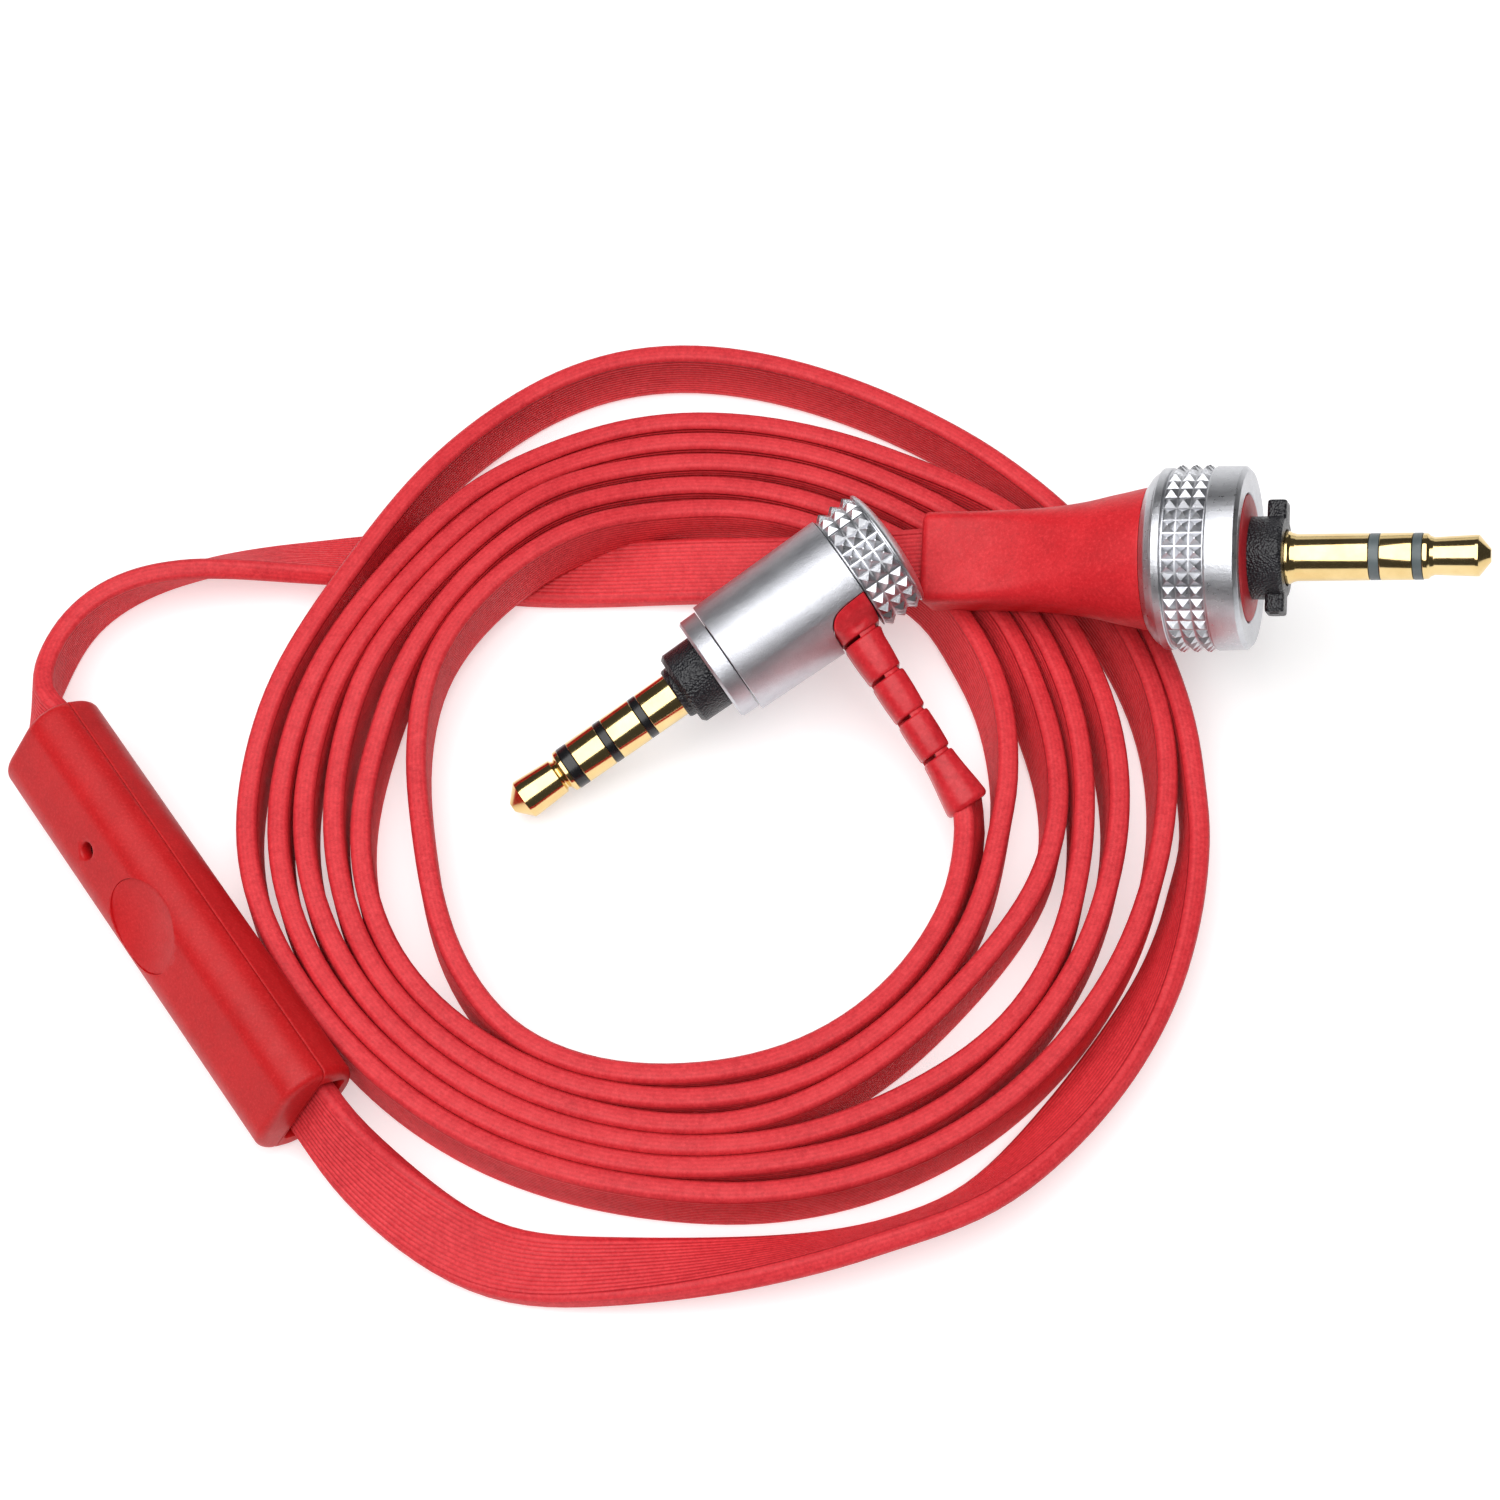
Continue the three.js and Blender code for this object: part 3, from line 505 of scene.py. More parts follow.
def satin_metal(name, light, dark, rough, grain, bump_mm, scratch=0.0, spec=None):
    n = Nodes(name)
    n.set(Metallic=1.0)
    cloud = n.noise(380, 5, 0.62)
    n.color(n.ramp(cloud, [(0.32, dark), (0.68, light)]))
    speck = n.noise(grain, 4, 0.7)
    r = n.remap(n.noise(grain * 0.45, 3, 0.6), 0.3, 0.7, *rough)
    n.rough(r)
    h = n.bump(speck, 0.6, bump_mm * MM)
    if scratch:
        lines = n.noise(3000, 2, 0.5, vec=n.stretch((0.12, 1.0, 1.0), (0.2, 0.5, 0.7)))
        h = n.bump(lines, scratch, bump_mm * MM, base=h)
    n.normal(h)
    return n


M_SATIN = satin_metal("silver_satin", srgb(204, 205, 210), srgb(188, 189, 195), (0.30, 0.42), 8200, 0.055)
M_KNURL = satin_metal("silver_knurled", srgb(202, 203, 207), srgb(184, 185, 190), (0.26, 0.38), 7600, 0.034, 0.08)
M_GOLD = satin_metal("gold", srgb(232, 206, 150), srgb(220, 190, 130), (0.10, 0.15), 2600, 0.003, 0.20)
M_STEEL = satin_metal("spring_steel", srgb(196, 198, 202), srgb(168, 170, 175), (0.25, 0.38), 3000, 0.008, 0.3)
M_COPPER = satin_metal("copper", srgb(226, 150, 104), srgb(198, 120, 78), (0.22, 0.36), 3000, 0.008, 0.3)


def plastic(name, light, dark, rough, grain, bump_mm, cells=False):
    n = Nodes(name)
    n.color(n.ramp(n.noise(420, 4, 0.6), [(0.3, dark), (0.7, light)]))
    n.rough(n.remap(n.noise(1500, 3, 0.6), 0.3, 0.7, *rough))
    tex = n.voronoi(grain) if cells else n.noise(grain, 4, 0.7)
    n.normal(n.bump(tex, 0.8, bump_mm * MM))
    return n


M_BLACK = plastic("black_nylon", srgb(26, 26, 32), srgb(14, 14, 19), (0.24, 0.40), 6000, 0.085, cells=True)
M_BAND = plastic("band_black", srgb(26, 26, 28), srgb(14, 14, 16), (0.22, 0.32), 2600, 0.006)
M_GREY = plastic("grey_band", srgb(98, 108, 110), srgb(82, 92, 94), (0.30, 0.42), 2600, 0.008)
M_CORE = plastic("moulded_core", srgb(236, 233, 226), srgb(220, 216, 208), (0.40, 0.52), 2400, 0.012)
M_BOARD = plastic("circuit_board", srgb(34, 108, 62), srgb(20, 82, 44), (0.22, 0.34), 1800, 0.012)


def paint(ob, nodes):
    ob.data.materials.clear()
    ob.data.materials.append(nodes.mat)
    return ob


def finish_piece(ob, mat, slot, body, *nodes):
    paint(ob, mat)
    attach(ob, body)
    if nodes:
        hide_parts(*nodes)
    return ob

# ---- the cord -----------------------------------------------------------------------------
# Points every five degrees round the coil and on round the outer loop to the remote, in
# millimetres in the part's frame, with the lean of the cord's wide side from the vertical.
COIL_ROUTE = [
    (17.28, 0.40, 2.74, -14), (17.07, -1.31, 2.72, -11), (16.75, -3.00, 2.70, -7), (16.30, -4.68, 2.66, -4), (15.72, -6.34, 2.63, 0),
    (15.01, -7.96, 2.62, 0), (14.18, -9.53, 2.62, 0), (13.23, -11.04, 2.62, 0), (12.16, -12.48, 2.62, 0), (10.97, -13.84, 2.62, 0),
    (9.67, -15.10, 2.62, 0), (8.25, -16.25, 2.62, 0), (6.72, -17.29, 2.62, 0), (5.07, -18.19, 2.62, 0), (3.32, -18.95, 2.62, 0),
    (1.46, -19.55, 2.62, 0), (-0.50, -20.00, 2.62, 0), (-2.53, -20.29, 2.62, 0), (-4.59, -20.43, 2.62, 0), (-6.67, -20.42, 2.62, 0),
    (-8.71, -20.23, 2.62, 0), (-10.68, -19.84, 2.62, 0), (-12.57, -19.23, 2.62, 0), (-14.36, -18.44, 2.62, 0), (-16.03, -17.39, 2.62, 0),
    (-17.52, -16.06, 2.62, 0), (-18.84, -14.48, 2.62, 0), (-19.97, -12.74, 2.62, 0), (-20.93, -10.90, 2.62, 0), (-21.70, -9.00, 2.62, 0),
    (-22.30, -7.09, 2.62, 0), (-22.77, -5.19, 2.62, 0), (-23.14, -3.30, 2.62, 0), (-23.46, -1.41, 2.62, 0), (-23.76, 0.45, 2.62, 0),
    (-24.01, 2.31, 2.62, 0), (-24.20, 4.15, 2.63, 0), (-24.27, 5.98, 2.72, 0), (-24.20, 7.78, 3.01, 0), (-23.96, 9.58, 3.53, 0),
    (-23.55, 11.35, 4.04, 0), (-22.95, 13.11, 4.34, 0), (-22.15, 14.84, 4.43, 0), (-21.14, 16.55, 4.45, 0), (-19.91, 18.23, 4.45, 0),
    (-18.49, 19.85, 4.45, 0), (-16.89, 21.37, 4.45, 0), (-15.14, 22.77, 4.42, 0), (-13.25, 24.00, 4.30, 0), (-11.25, 25.06, 3.95, 0),
    (-9.17, 25.92, 3.41, 0), (-7.03, 26.56, 2.93, 0), (-4.84, 26.97, 2.69, 0), (-2.65, 27.15, 2.63, 0), (-0.46, 27.11, 2.62, 0),
    (1.70, 26.85, 2.62, 0), (3.81, 26.37, 2.62, 0), (5.83, 25.67, 2.62, 0), (7.76, 24.75, 2.62, 0), (9.54, 23.60, 2.65, 1), (11.16, 22.24, 2.71, 8),
    (12.57, 20.75, 2.71, 23), (13.73, 19.19, 2.53, 40), (14.64, 17.56, 2.29, 55), (15.41, 15.86, 2.13, 64), (16.22, 14.12, 2.05, 66),
    (17.06, 12.27, 2.08, 62), (17.78, 10.28, 2.24, 54), (18.38, 8.20, 2.47, 43), (18.89, 6.14, 2.66, 31), (19.30, 4.13, 2.73, 19),
    (19.52, 2.18, 2.71, 9), (19.42, 0.28, 2.65, 2), (19.10, -1.59, 2.62, 0), (18.70, -3.44, 2.62, 0), (18.20, -5.29, 2.62, 0),
    (17.55, -7.11, 2.62, 0), (16.76, -8.89, 2.62, 0), (15.82, -10.62, 2.62, 0), (14.73, -12.28, 2.62, 0), (13.49, -13.84, 2.62, 0),
    (12.13, -15.30, 2.62, 0), (10.65, -16.67, 2.62, 0), (9.09, -17.94, 2.62, 0), (7.44, -19.11, 2.62, 0), (5.67, -20.11, 2.62, 0),
    (3.79, -20.93, 2.62, 0), (1.81, -21.56, 2.62, 0), (-0.25, -22.00, 2.62, 0), (-2.37, -22.25, 2.62, 0), (-4.54, -22.31, 2.62, 0),
    (-6.73, -22.19, 2.62, 0), (-8.93, -21.88, 2.62, 0), (-11.10, -21.40, 2.62, 0), (-13.23, -20.71, 2.62, 0), (-15.28, -19.81, 2.62, 0),
    (-17.25, -18.74, 2.62, 0), (-19.12, -17.51, 2.62, 0), (-20.88, -16.13, 2.62, 0), (-22.50, -14.59, 2.62, 0), (-23.96, -12.89, 2.62, 0),
    (-25.23, -11.02, 2.62, 0), (-26.28, -8.99, 2.62, 0), (-27.10, -6.84, 2.62, 0), (-27.69, -4.61, 2.62, 0), (-28.02, -2.34, 2.62, 0),
    (-28.12, -0.06, 2.62, 0), (-27.99, 2.18, 2.62, 0), (-27.70, 4.34, 2.65, 0), (-27.28, 6.40, 2.79, 0), (-26.76, 8.34, 3.17, 0),
    (-26.15, 10.20, 3.71, 0), (-25.43, 12.03, 4.17, 0), (-24.58, 13.89, 4.38, 0), (-23.58, 15.80, 4.44, 0), (-22.41, 17.73, 4.45, 0),
    (-21.07, 19.62, 4.45, 0), (-19.55, 21.43, 4.45, 0), (-17.88, 23.13, 4.43, 0), (-16.05, 24.67, 4.36, 0), (-14.10, 26.04, 4.10, 0),
    (-12.02, 27.20, 3.60, 0), (-9.83, 28.13, 3.08, 0), (-7.56, 28.79, 2.75, 0), (-5.21, 29.17, 2.64, 0), (-2.82, 29.28, 2.62, 0),
    (-0.41, 29.13, 2.62, 0), (1.97, 28.76, 2.62, 0), (4.31, 28.16, 2.62, 0), (6.55, 27.37, 2.62, 0), (8.68, 26.39, 2.63, 0), (10.67, 25.23, 2.66, 3),
    (12.49, 23.91, 2.71, 9), (14.17, 22.44, 2.74, 17), (15.71, 20.85, 2.71, 26), (17.15, 19.16, 2.64, 33), (18.45, 17.33, 2.58, 37),
    (19.51, 15.32, 2.57, 38), (20.40, 13.19, 2.59, 36), (21.22, 11.00, 2.64, 33), (21.98, 8.76, 2.69, 28), (22.61, 6.50, 2.73, 23),
    (23.08, 4.23, 2.74, 17), (23.32, 1.98, 2.72, 11), (23.29, -0.22, 2.69, 6), (22.96, -2.35, 2.65, 2), (22.31, -4.39, 2.63, 0),
    (21.38, -6.33, 2.62, 0), (20.24, -8.19, 2.62, 0), (18.97, -9.96, 2.62, 0), (17.62, -11.67, 2.62, 0), (16.20, -13.33, 2.62, 0),
    (14.74, -14.94, 2.62, 0), (13.21, -16.51, 2.62, 0), (11.58, -18.00, 2.62, 0), (9.85, -19.40, 2.62, 0), (8.03, -20.67, 2.62, 0),
    (6.12, -21.81, 2.62, 0), (4.13, -22.77, 2.62, 0), (2.05, -23.53, 2.62, 0), (-0.12, -24.03, 2.62, 0), (-2.36, -24.27, 2.62, 0),
    (-4.64, -24.25, 2.62, 0), (-6.94, -24.02, 2.62, 0), (-9.24, -23.59, 2.62, 0), (-11.53, -22.99, 2.62, 0), (-13.80, -22.22, 2.62, 0),
    (-16.00, -21.26, 2.62, 0), (-18.12, -20.11, 2.62, 0), (-20.14, -18.77, 2.62, 0), (-22.03, -17.27, 2.62, 0), (-23.78, -15.60, 2.62, 0),
    (-25.36, -13.77, 2.62, 0), (-26.71, -11.77, 2.62, 0), (-27.84, -9.63, 2.62, 0), (-28.75, -7.36, 2.62, 0), (-29.43, -5.02, 2.62, 0),
    (-29.90, -2.63, 2.62, 0), (-30.16, -0.23, 2.62, 0), (-30.22, 2.16, 2.63, 0), (-30.08, 4.51, 2.68, 0), (-29.75, 6.77, 2.89, 0),
    (-29.23, 8.95, 3.35, 0), (-28.53, 11.04, 3.89, 0), (-27.64, 13.06, 4.27, 0), (-26.58, 15.02, 4.41, 0), (-25.35, 16.96, 4.44, 0),
    (-23.98, 18.90, 4.45, 0), (-22.46, 20.84, 4.45, 0), (-20.79, 22.76, 4.44, 0), (-18.96, 24.62, 4.40, 0), (-17.00, 26.40, 4.21, 0),
    (-14.91, 28.02, 3.79, 0), (-12.69, 29.35, 3.24, 0), (-10.36, 30.31, 2.83, 0), (-7.92, 30.94, 2.66, 0), (-5.40, 31.29, 2.62, 0),
    (-2.82, 31.42, 2.62, 0), (-0.21, 31.31, 2.62, 0), (2.37, 30.98, 2.62, 0), (4.89, 30.40, 2.62, 0), (7.31, 29.59, 2.62, 0), (9.61, 28.54, 2.62, 0),
    (11.76, 27.27, 2.65, 2), (13.77, 25.79, 2.69, 7), (15.63, 24.14, 2.73, 13), (17.36, 22.34, 2.74, 19), (18.96, 20.43, 2.72, 24),
    (20.40, 18.40, 2.70, 27), (21.62, 16.24, 2.69, 28), (22.64, 13.99, 2.70, 27), (23.53, 11.70, 2.72, 24), (24.26, 9.38, 2.73, 21),
    (24.83, 7.01, 2.74, 17), (25.21, 4.61, 2.73, 12), (25.41, 2.18, 2.71, 8), (25.41, -0.27, 2.67, 4), (25.21, -2.72, 2.64, 2),
    (24.81, -5.16, 2.62, 0), (24.20, -7.58, 2.62, 0), (23.37, -9.95, 2.62, 0), (22.32, -12.22, 2.62, 0), (21.04, -14.35, 2.62, 0),
    (19.54, -16.28, 2.62, 0), (17.83, -18.00, 2.62, 0), (15.93, -19.52, 2.62, 0), (13.88, -20.87, 2.62, 0), (11.73, -22.10, 2.62, 0),
    (9.51, -23.19, 2.62, 0), (7.22, -24.14, 2.62, 0), (4.86, -24.90, 2.62, 0), (2.46, -25.45, 2.62, 0), (0.01, -25.77, 2.62, 0),
    (-2.45, -25.90, 2.62, 0), (-4.92, -25.85, 2.62, 0), (-7.37, -25.59, 2.62, 0), (-9.80, -25.12, 2.62, 0), (-12.19, -24.48, 2.62, 0),
    (-14.54, -23.66, 2.62, 0), (-16.82, -22.65, 2.62, 0), (-19.02, -21.45, 2.62, 0), (-21.12, -20.05, 2.62, 0), (-23.11, -18.48, 2.62, 0),
    (-24.96, -16.71, 2.62, 0), (-26.65, -14.77, 2.62, 0), (-28.16, -12.65, 2.62, 0), (-29.48, -10.38, 2.62, 0), (-30.59, -7.99, 2.62, 0),
    (-31.46, -5.52, 2.62, 0), (-32.06, -2.99, 2.62, 0), (-32.38, -0.44, 2.62, 0), (-32.43, 2.10, 2.64, 0), (-32.22, 4.59, 2.74, 0),
    (-31.77, 7.00, 3.07, 0), (-31.10, 9.32, 3.59, 0), (-30.23, 11.54, 4.09, 0), (-29.18, 13.70, 4.35, 0), (-27.99, 15.81, 4.43, 0),
    (-26.67, 17.90, 4.45, 0), (-25.20, 19.98, 4.45, 0), (-23.58, 22.04, 4.44, 0), (-21.80, 24.08, 4.41, 0), (-19.88, 26.07, 4.28, 0),
    (-17.82, 27.95, 3.91, 0), (-15.62, 29.65, 3.37, 0), (-13.29, 31.07, 2.91, 0), (-10.83, 32.12, 2.68, 0), (-8.26, 32.83, 2.63, 0),
    (-5.59, 33.23, 2.62, 0), (-2.85, 33.36, 2.62, 0), (-0.09, 33.23, 2.62, 0), (2.67, 32.85, 2.62, 0), (5.37, 32.23, 2.62, 0),
    (7.97, 31.36, 2.62, 0), (10.44, 30.26, 2.63, 0), (12.77, 28.95, 2.65, 2), (14.94, 27.43, 2.70, 8), (16.95, 25.72, 2.73, 15),
    (18.79, 23.85, 2.73, 22), (20.47, 21.82, 2.69, 28), (21.99, 19.66, 2.66, 31), (23.38, 17.38, 2.65, 32), (24.62, 15.00, 2.67, 30),
    (25.70, 12.53, 2.69, 28), (26.60, 10.00, 2.72, 24), (27.30, 7.41, 2.74, 19), (27.76, 4.79, 2.73, 14), (27.97, 2.15, 2.71, 9),
    (27.91, -0.49, 2.68, 5), (27.58, -3.11, 2.65, 2), (27.00, -5.69, 2.62, 0), (26.17, -8.22, 2.62, 0), (25.13, -10.68, 2.62, 0),
    (23.87, -13.04, 2.62, 0), (22.41, -15.30, 2.62, 0), (20.77, -17.42, 2.62, 0), (18.97, -19.40, 2.62, 0), (17.02, -21.19, 2.62, 0),
    (14.93, -22.76, 2.62, 0), (12.71, -24.09, 2.62, 0), (10.40, -25.16, 2.62, 0), (7.99, -25.99, 2.62, 0), (5.50, -26.61, 2.62, 0),
    (2.96, -27.06, 2.62, 0), (0.36, -27.37, 2.62, 0), (-2.27, -27.52, 2.62, 0), (-4.92, -27.47, 2.62, 0), (-7.56, -27.19, 2.62, 0),
    (-10.18, -26.68, 2.62, 0), (-12.74, -25.99, 2.62, 0), (-15.25, -25.11, 2.62, 0), (-17.67, -24.03, 2.62, 0), (-19.99, -22.75, 2.62, 0),
    (-22.20, -21.27, 2.62, 0), (-24.28, -19.59, 2.62, 0), (-26.24, -17.74, 2.62, 0), (-28.07, -15.72, 2.62, 0), (-29.73, -13.53, 2.62, 0),
    (-31.18, -11.15, 2.62, 0), (-32.39, -8.63, 2.62, 0), (-33.32, -6.01, 2.62, 0), (-33.96, -3.32, 2.62, 0), (-34.27, -0.61, 2.62, 0),
    (-34.29, 2.08, 2.65, 0), (-34.02, 4.71, 2.80, 0), (-33.49, 7.25, 3.18, 0), (-32.74, 9.69, 3.72, 0), (-31.80, 12.03, 4.18, 0),
    (-30.70, 14.31, 4.38, 0), (-29.44, 16.55, 4.44, 0), (-28.03, 18.78, 4.45, 0), (-26.47, 21.02, 4.45, 0), (-24.75, 23.29, 4.43, 0),
    (-22.87, 25.53, 4.36, 0), (-20.84, 27.66, 4.10, 0), (-18.66, 29.62, 3.61, 0), (-16.33, 31.33, 3.09, 0), (-13.88, 32.76, 2.75, 0),
    (-11.29, 33.87, 2.64, 0), (-8.60, 34.66, 2.62, 0), (-5.80, 35.12, 2.62, 0), (-2.93, 35.26, 2.62, 0), (-0.02, 35.10, 2.62, 0),
    (2.88, 34.67, 2.62, 0), (5.76, 34.00, 2.62, 0), (8.57, 33.12, 2.62, 0), (11.28, 32.03, 2.63, 0), (13.88, 30.76, 2.65, 2),
    (16.36, 29.30, 2.70, 8), (18.70, 27.65, 2.73, 15), (20.90, 25.81, 2.73, 22), (22.95, 23.79, 2.69, 28), (24.83, 21.58, 2.66, 31),
    (26.54, 19.18, 2.65, 32), (28.06, 16.61, 2.67, 30), (29.35, 13.89, 2.69, 28), (30.37, 11.06, 2.72, 24), (31.08, 8.14, 2.74, 19),
    (31.46, 5.17, 2.73, 14), (31.51, 2.18, 2.71, 9), (31.25, -0.78, 2.68, 5), (30.71, -3.70, 2.65, 2), (29.90, -6.53, 2.62, 0),
    (28.85, -9.26, 2.62, 0), (27.58, -11.87, 2.62, 0), (26.11, -14.34, 2.62, 0), (24.47, -16.68, 2.62, 0), (22.67, -18.86, 2.62, 0),
    (20.71, -20.89, 2.62, 0), (18.59, -22.74, 2.62, 0), (16.30, -24.39, 2.62, 0), (13.86, -25.83, 2.62, 0), (11.31, -27.04, 2.62, 0),
    (8.67, -28.02, 2.62, 0), (5.96, -28.74, 2.62, 0), (3.22, -29.21, 2.62, 0), (0.46, -29.42, 2.62, 0), (-2.30, -29.39, 2.62, 0),
    (-5.06, -29.17, 2.62, 0), (-7.81, -28.79, 2.62, 0), (-10.55, -28.25, 2.62, 0), (-13.26, -27.51, 2.62, 0), (-15.92, -26.57, 2.62, 0),
    (-18.49, -25.42, 2.62, 0), (-20.94, -24.05, 2.62, 0), (-23.25, -22.49, 2.62, 0), (-25.43, -20.73, 2.62, 0), (-27.46, -18.80, 2.62, 0),
    (-29.37, -16.69, 2.62, 0), (-31.14, -14.41, 2.62, 0), (-32.78, -11.95, 2.62, 0), (-34.21, -9.34, 2.62, 0), (-35.36, -6.60, 2.62, 0),
    (-36.16, -3.76, 2.62, 0), (-36.58, -0.88, 2.63, 0), (-36.62, 2.00, 2.71, 0), (-36.33, 4.83, 2.97, 0), (-35.75, 7.58, 3.47, 0),
    (-34.92, 10.22, 3.99, 0), (-33.89, 12.76, 4.32, 0), (-32.70, 15.25, 4.42, 0), (-31.40, 17.73, 4.45, 0), (-30.00, 20.22, 4.45, 0),
    (-28.52, 22.78, 4.44, 0), (-26.93, 25.44, 4.38, 0), (-25.17, 28.21, 4.16, 0), (-23.21, 31.03, 3.69, 0), (-21.00, 33.76, 3.15, 0),
    (-18.51, 36.24, 2.78, 0), (-15.76, 38.33, 2.65, 0), (-12.79, 39.96, 2.62, 0), (-9.65, 41.06, 2.62, 0), (-6.38, 41.61, 2.62, 0),
    (-3.03, 41.64, 2.62, 0), (0.35, 41.20, 2.62, 0), (3.71, 40.38, 2.62, 0), (7.00, 39.24, 2.62, 0), (10.19, 37.85, 2.62, 0),
    (13.22, 36.26, 2.62, 0), (16.09, 34.51, 2.62, 0), (18.78, 32.59, 2.63, 1), (21.27, 30.51, 2.64, 1), (23.57, 28.27, 2.65, 2),
    (25.67, 25.87, 2.65, 3), (27.55, 23.32, 2.66, 3), (29.20, 20.61, 2.66, 3), (30.63, 17.77, 2.66, 3), (31.81, 14.81, 2.65, 3),
    (32.74, 11.78, 2.65, 2), (33.42, 8.69, 2.64, 2), (33.83, 5.60, 2.64, 1), (33.97, 2.52, 2.66, 1), (33.83, -0.50, 2.70, 7),
    (33.42, -3.47, 2.73, 12), (32.74, -6.37, 2.74, 18), (31.81, -9.21, 2.71, 25), (30.65, -11.97, 2.62, 34), (29.26, -14.68, 2.49, 42),
    (27.65, -17.32, 2.37, 48), (25.81, -19.87, 2.25, 52), (23.72, -22.29, 2.14, 56), (21.42, -24.56, 2.04, 59), (18.93, -26.66, 1.95, 62),
    (16.28, -28.53, 1.89, 64), (13.47, -30.14, 1.84, 65), (10.50, -31.43, 1.80, 66), (7.38, -32.40, 1.72, 68), (4.15, -33.07, 1.58, 72),
    (0.82, -33.53, 1.35, 78), (-2.55, -33.81, 1.12, 84), (-5.95, -33.96, 0.98, 88), (-9.33, -33.93, 0.99, 92), (-12.66, -33.63, 1.17, 98),
    (-15.92, -32.99, 1.43, 104), (-19.07, -31.94, 1.69, 111), (-22.07, -30.47, 1.95, 118), (-24.89, -28.60, 2.22, 127), (-27.53, -26.38, 2.43, 136),
    (-30.00, -23.83, 2.53, 140),
]
# The short cord from the remote's upper end under the coil to the straight plug.
LEAD_ROUTE = [
    (-52.19, 7.09, 4.33, -38), (-52.67, 8.06, 4.49, -31), (-52.97, 9.16, 4.15, -20), (-53.09, 10.37, 3.62, -11), (-53.06, 11.66, 3.13, -4),
    (-52.88, 12.99, 2.79, -1), (-52.57, 14.32, 2.63, -0), (-52.13, 15.63, 2.65, -1), (-51.56, 16.88, 2.67, -3), (-50.84, 18.05, 2.70, -6),
    (-49.99, 19.09, 2.72, -9), (-49.01, 19.98, 2.74, -11), (-47.92, 20.74, 2.75, -14), (-46.74, 21.38, 2.76, -17), (-45.48, 21.91, 2.76, -20),
    (-44.18, 22.33, 2.74, -24), (-42.85, 22.68, 2.71, -27), (-41.52, 22.95, 2.66, -32), (-40.18, 23.16, 2.59, -37), (-38.85, 23.33, 2.51, -41),
    (-37.52, 23.46, 2.43, -45), (-36.19, 23.56, 2.34, -49), (-34.86, 23.66, 2.24, -53), (-33.53, 23.75, 2.13, -56), (-32.19, 23.86, 2.01, -60),
    (-30.85, 23.99, 1.85, -65), (-29.50, 24.12, 1.68, -70), (-28.15, 24.23, 1.50, -74), (-26.80, 24.30, 1.34, -78), (-25.45, 24.32, 1.19, -82),
    (-24.09, 24.27, 1.05, -85), (-22.73, 24.14, 0.95, -87), (-21.37, 23.94, 0.89, -89), (-20.01, 23.72, 0.92, -91), (-18.65, 23.52, 0.96, -92),
    (-17.29, 23.37, 1.00, -94), (-15.93, 23.27, 1.06, -95), (-14.57, 23.21, 1.12, -97), (-13.22, 23.18, 1.17, -98), (-11.86, 23.18, 1.21, -99),
    (-10.51, 23.19, 1.24, -99), (-9.15, 23.21, 1.31, -100), (-7.80, 23.22, 1.40, -101), (-6.46, 23.23, 1.50, -101), (-5.12, 23.22, 1.62, -102),
    (-3.78, 23.18, 1.76, -102), (-2.44, 23.12, 1.92, -103), (-1.12, 23.02, 2.11, -104), (0.21, 22.91, 2.33, -104), (1.53, 22.78, 2.58, -105),
    (2.84, 22.62, 2.87, -105), (4.14, 22.46, 3.19, -106), (5.44, 22.28, 3.56, -106), (6.73, 22.09, 3.97, -107), (8.02, 21.89, 4.43, -108),
    (9.29, 21.69, 4.94, -109), (10.56, 21.48, 5.47, -110), (11.82, 21.27, 5.98, -110), (13.07, 21.07, 6.44, -110), (14.31, 20.87, 6.80, -110),
]

CORD_W, CORD_T = 5.2, 1.6


def section(width=CORD_W, thick=CORD_T, ribs=13, depth=0.10):
    """The cord's ribbed section: points (across the wide side, through the thickness) and how far each stands out."""
    hw, ht, r = width / 2, thick / 2, 0.52
    flat = hw - r
    pts, crest = [], []

    def face(sign):
        pitch = 2 * flat / ribs
        for i in range(ribs):
            y0 = flat - i * pitch
            for f, d, c in ((0.0, depth, 0.38), (0.24, 0.0, 1.0), (0.76, 0.0, 1.0)):
                pts.append((sign * (y0 - f * pitch), sign * (ht - d)))
                crest.append(c)

    def edge(sign):
        # round corner, then five faint lines down the edge
        steps = [(90, 0.03, 0.55), (68, 0.0, 0.9), (45, 0.03, 0.80), (22, 0.0, 1.0), (4, 0.045, 0.74)]
        for a, d, c in steps:
            t = math.radians(a)
            pts.append((-sign * (flat + (r - d) * math.cos(t)), sign * ((ht - r) + (r - d) * math.sin(t))))
            crest.append(c)
        pts.append((-sign * hw, sign * 0.17))
        crest.append(1.0)
        pts.append((-sign * (hw - 0.03), -sign * 0.0))
        crest.append(0.80)
        pts.append((-sign * hw, -sign * 0.17))
        crest.append(1.0)
        for a, d, c in reversed(steps):
            t = math.radians(a)
            pts.append((-sign * (flat + (r - d) * math.cos(t)), -sign * ((ht - r) + (r - d) * math.sin(t))))
            crest.append(c)

    face(1)
    edge(1)
    face(-1)
    edge(-1)
    return np.array(pts), np.array(crest)


